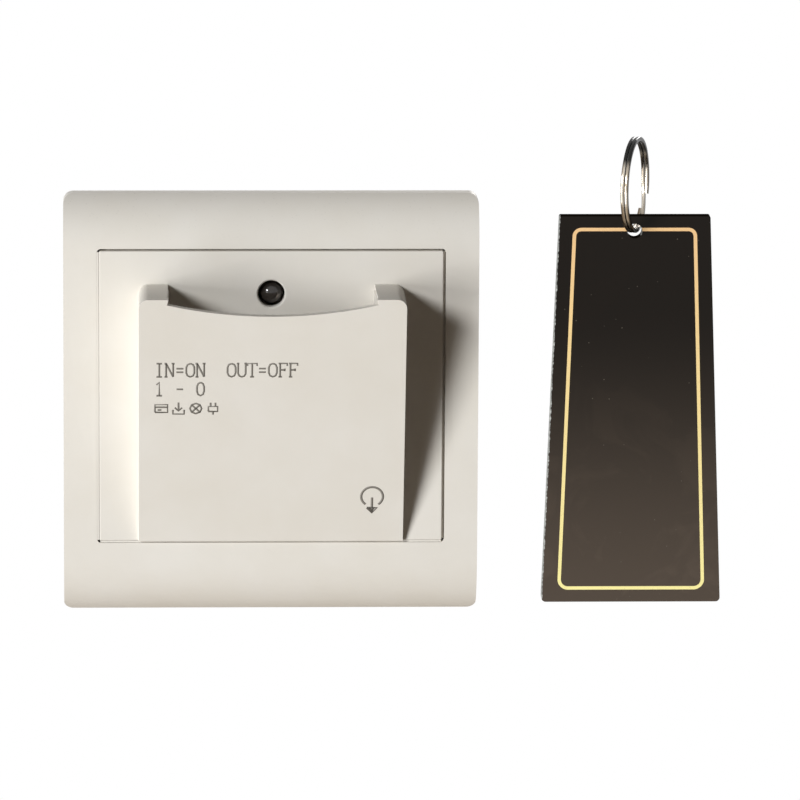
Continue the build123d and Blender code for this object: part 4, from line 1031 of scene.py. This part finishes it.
def ringTree():
    tree, given, made = newTree(
        "splitRing",
        [("Radius", "Float", 9.5 * mm), ("Coils", "Float", 2.0), ("Pitch", "Float", 0.9 * mm),
         ("Step Share", "Float", 0.05), ("Wire Width", "Float", 0.8 * mm),
         ("Wire Height", "Float", 0.95 * mm), ("Corner", "Float", 0.2 * mm), ("Finish", "Material", None)],
    )
    radius = given["Radius"]
    spiral = addNode(tree, "GeometryNodeCurveSpiral", {
        "Resolution": 96, "Rotations": given["Coils"], "Start Radius": radius, "End Radius": radius,
        "Height": 0.0,
    })
    # Round the middle of its length the wire crosses from one turn's side to the other's
    along = tree.nodes.new("GeometryNodeSplineParameter").outputs["Factor"]
    start, end = [mathNode(tree, way, 0.5, given["Step Share"]) for way in ("SUBTRACT", "ADD")]
    back, front = [product(tree, given["Pitch"], share) for share in (-0.5, 0.5)]
    crossing = vectorOf(tree, {"Z": rangeNode(tree, along, start, end, back, front, smooth=True)})
    place = addNode(tree, "GeometryNodeSetPosition",
                    {"Geometry": spiral.outputs["Curve"], "Offset": crossing})
    upright = addNode(tree, "GeometryNodeSetCurveNormal", {"Curve": place.outputs["Geometry"]}, mode="Z_UP")
    profile = addNode(tree, "GeometryNodeCurvePrimitiveQuadrilateral",
                      {"Width": given["Wire Height"], "Height": given["Wire Width"]})
    rounded = addNode(tree, "GeometryNodeFilletCurve",
                      {"Curve": profile.outputs["Curve"], "Radius": given["Corner"], "Count": 3}, mode="POLY")
    sweep = addNode(tree, "GeometryNodeCurveToMesh", {
        "Curve": upright.outputs["Curve"], "Profile Curve": rounded.outputs["Curve"], "Fill Caps": True,
    })
    smooth = addNode(tree, "GeometryNodeSetShadeSmooth", {"Geometry": sweep.outputs["Mesh"]})
    closeTree(tree, given, made, smooth.outputs["Geometry"])
    return tree


ringLow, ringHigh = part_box("split_ring")
ringCentre = (ringLow + ringHigh) / 2
ringSource = linkObject("ringSource", bpy.data.meshes.new("ringSource"))
ringPiece = growMesh("keyRing", ringSource, ringTree(), {
    "Radius": (ringSizes["diameter"] - ringSizes["wireHeight"]) / 2 * mm,
    "Coils": ringSizes["coils"],
    "Pitch": (ringSizes["turnWidth"] + ringSizes["turnGap"]) * mm,
    "Step Share": ringSizes["step"],
    "Wire Width": ringSizes["turnWidth"] * mm,
    "Wire Height": ringSizes["wireHeight"] * mm,
    "Corner": ringSizes["edge"] * mm,
    "Finish": ringChrome,
})
# The ring's own axis, Z, is laid along X and turned as the CAD ring is
laid = Matrix.Rotation(math.radians(90), 4, "Y")
spun = Matrix.Rotation(math.radians(ringSizes["startAngle"]), 4, "Z")
yawed = Matrix.Rotation(math.radians(-ringSizes["turn"]), 4, "Z")
ringPiece.data.transform(Matrix.Translation(ringCentre) @ yawed @ laid @ spun)
finishPiece(ringPiece, "ring", "ring_chrome", "split_ring")
print("split ring wound")

# Room: warm pale floor well below, soft light from the left, a faint one behind, white all round

room = {
    "floorDrop": 0.70, "floorSize": 1.6, "floorColour": (0.84, 0.72, 0.58), "floorRough": 0.8,
    "ambient": 0.015, "ambientColour": (1.0, 0.50, 0.22),
}
frontWhite = (0.985, 0.997, 0.998)
# Each light: direction, distance, size, watts, colour
lights = {
    "keyLight": ((-0.62, -0.70, 0.33), 4.00, (1.20, 0.80), 117.0, frontWhite),
    "leftLight": ((-0.72, -0.62, -0.06), 4.00, (1.15, 1.15), 76.0, frontWhite),
    "lowLeftLight": ((-0.66, -0.58, -0.36), 2.00, (0.90, 0.90), 10.5, frontWhite),
    "backLight": ((0.45, 0.85, 0.40), 0.90, (0.5, 0.4), 7.0, (1.0, 0.99, 0.98)),
}


def addLight(name, towards, distance, size, watts, colour, target):
    data = bpy.data.lights.new(name, "AREA")
    data.shape = "RECTANGLE"
    data.size, data.size_y = size
    data.energy = watts
    data.color = colour
    light = linkObject(name, data)
    direction = Vector(towards).normalized()
    light.location = target + direction * distance
    light.rotation_euler = direction.to_track_quat("Z", "Y").to_euler()


middle = (Vector(cadBounds[0]) + Vector(cadBounds[1])) / 2
for name, values in lights.items():
    addLight(name, *values, middle)

floorHalf = room["floorSize"] / 2
floorLevel = cadBounds[0][2] - room["floorDrop"]
floorCorners = [(x * floorHalf, y * floorHalf, floorLevel) for x, y in ((-1, -1), (1, -1), (1, 1), (-1, 1))]
floorMesh = bpy.data.meshes.new("floor")
floorMesh.from_pydata(floorCorners, [], [(0, 1, 2, 3)])
floorPaint, floorTree, floorShader = newMaterial("floorPaint")
setFinish(floorTree, floorShader, (*room["floorColour"], 1.0), room["floorRough"])
meshObject("floor", floorMesh, floorPaint)

world = bpy.data.worlds.new("studio")
scene.world = world
world.use_nodes = True
sky = world.node_tree
sky.nodes.clear()


def background(colour, strength):
    return addNode(sky, "ShaderNodeBackground", {"Color": (*colour, 1.0), "Strength": strength}).outputs[0]


# White where it is seen, straight or in a reflection, and dim where it would light the object
rays = sky.nodes.new("ShaderNodeLightPath").outputs
seen = mathNode(sky, "MAXIMUM", rays["Is Camera Ray"], rays["Is Glossy Ray"])
seen = mathNode(sky, "MAXIMUM", seen, rays["Is Transmission Ray"])
dim = background(room["ambientColour"], room["ambient"])
white = background((1.0, 1.0, 1.0), 1.0)
either = addNode(sky, "ShaderNodeMixShader", {0: seen, 1: dim, 2: white})
addNode(sky, "ShaderNodeOutputWorld", {"Surface": either.outputs[0]})

# Camera as the photograph has it: a little above, a shade to the left, slightly rolled

view = {
    "distance": 1.60, "elevation": 11.3, "azimuth": 1.2, "roll": 0.34,
    "aim": (0.0271, 0.0, -0.0027), "pixelsPerMetre": 4795.0, "imageWidth": 800, "sensor": 36.0,
}
azimuth, elevation = math.radians(view["azimuth"]), math.radians(view["elevation"])
away = Vector((-math.sin(azimuth) * math.cos(elevation), -math.cos(azimuth) * math.cos(elevation),
               math.sin(elevation)))
cameraData = bpy.data.cameras.new("camera")
cameraData.sensor_width = view["sensor"]
cameraData.lens = view["sensor"] * view["pixelsPerMetre"] * view["distance"] / view["imageWidth"]
cameraData.clip_start = 0.05
camera = linkObject("camera", cameraData)
camera.location = away * view["distance"]
forward = (Vector(view["aim"]) - camera.location).normalized()
right = forward.cross(Vector((0, 0, 1))).normalized()
up = right.cross(forward)
roll = math.radians(view["roll"])
rolledRight = right * math.cos(roll) + up * math.sin(roll)
rolledUp = up * math.cos(roll) - right * math.sin(roll)
camera.rotation_euler = Matrix((rolledRight, rolledUp, -forward)).transposed().to_euler()
scene.camera = camera
scene.view_settings.view_transform = "Standard"
print("camera and light placed")
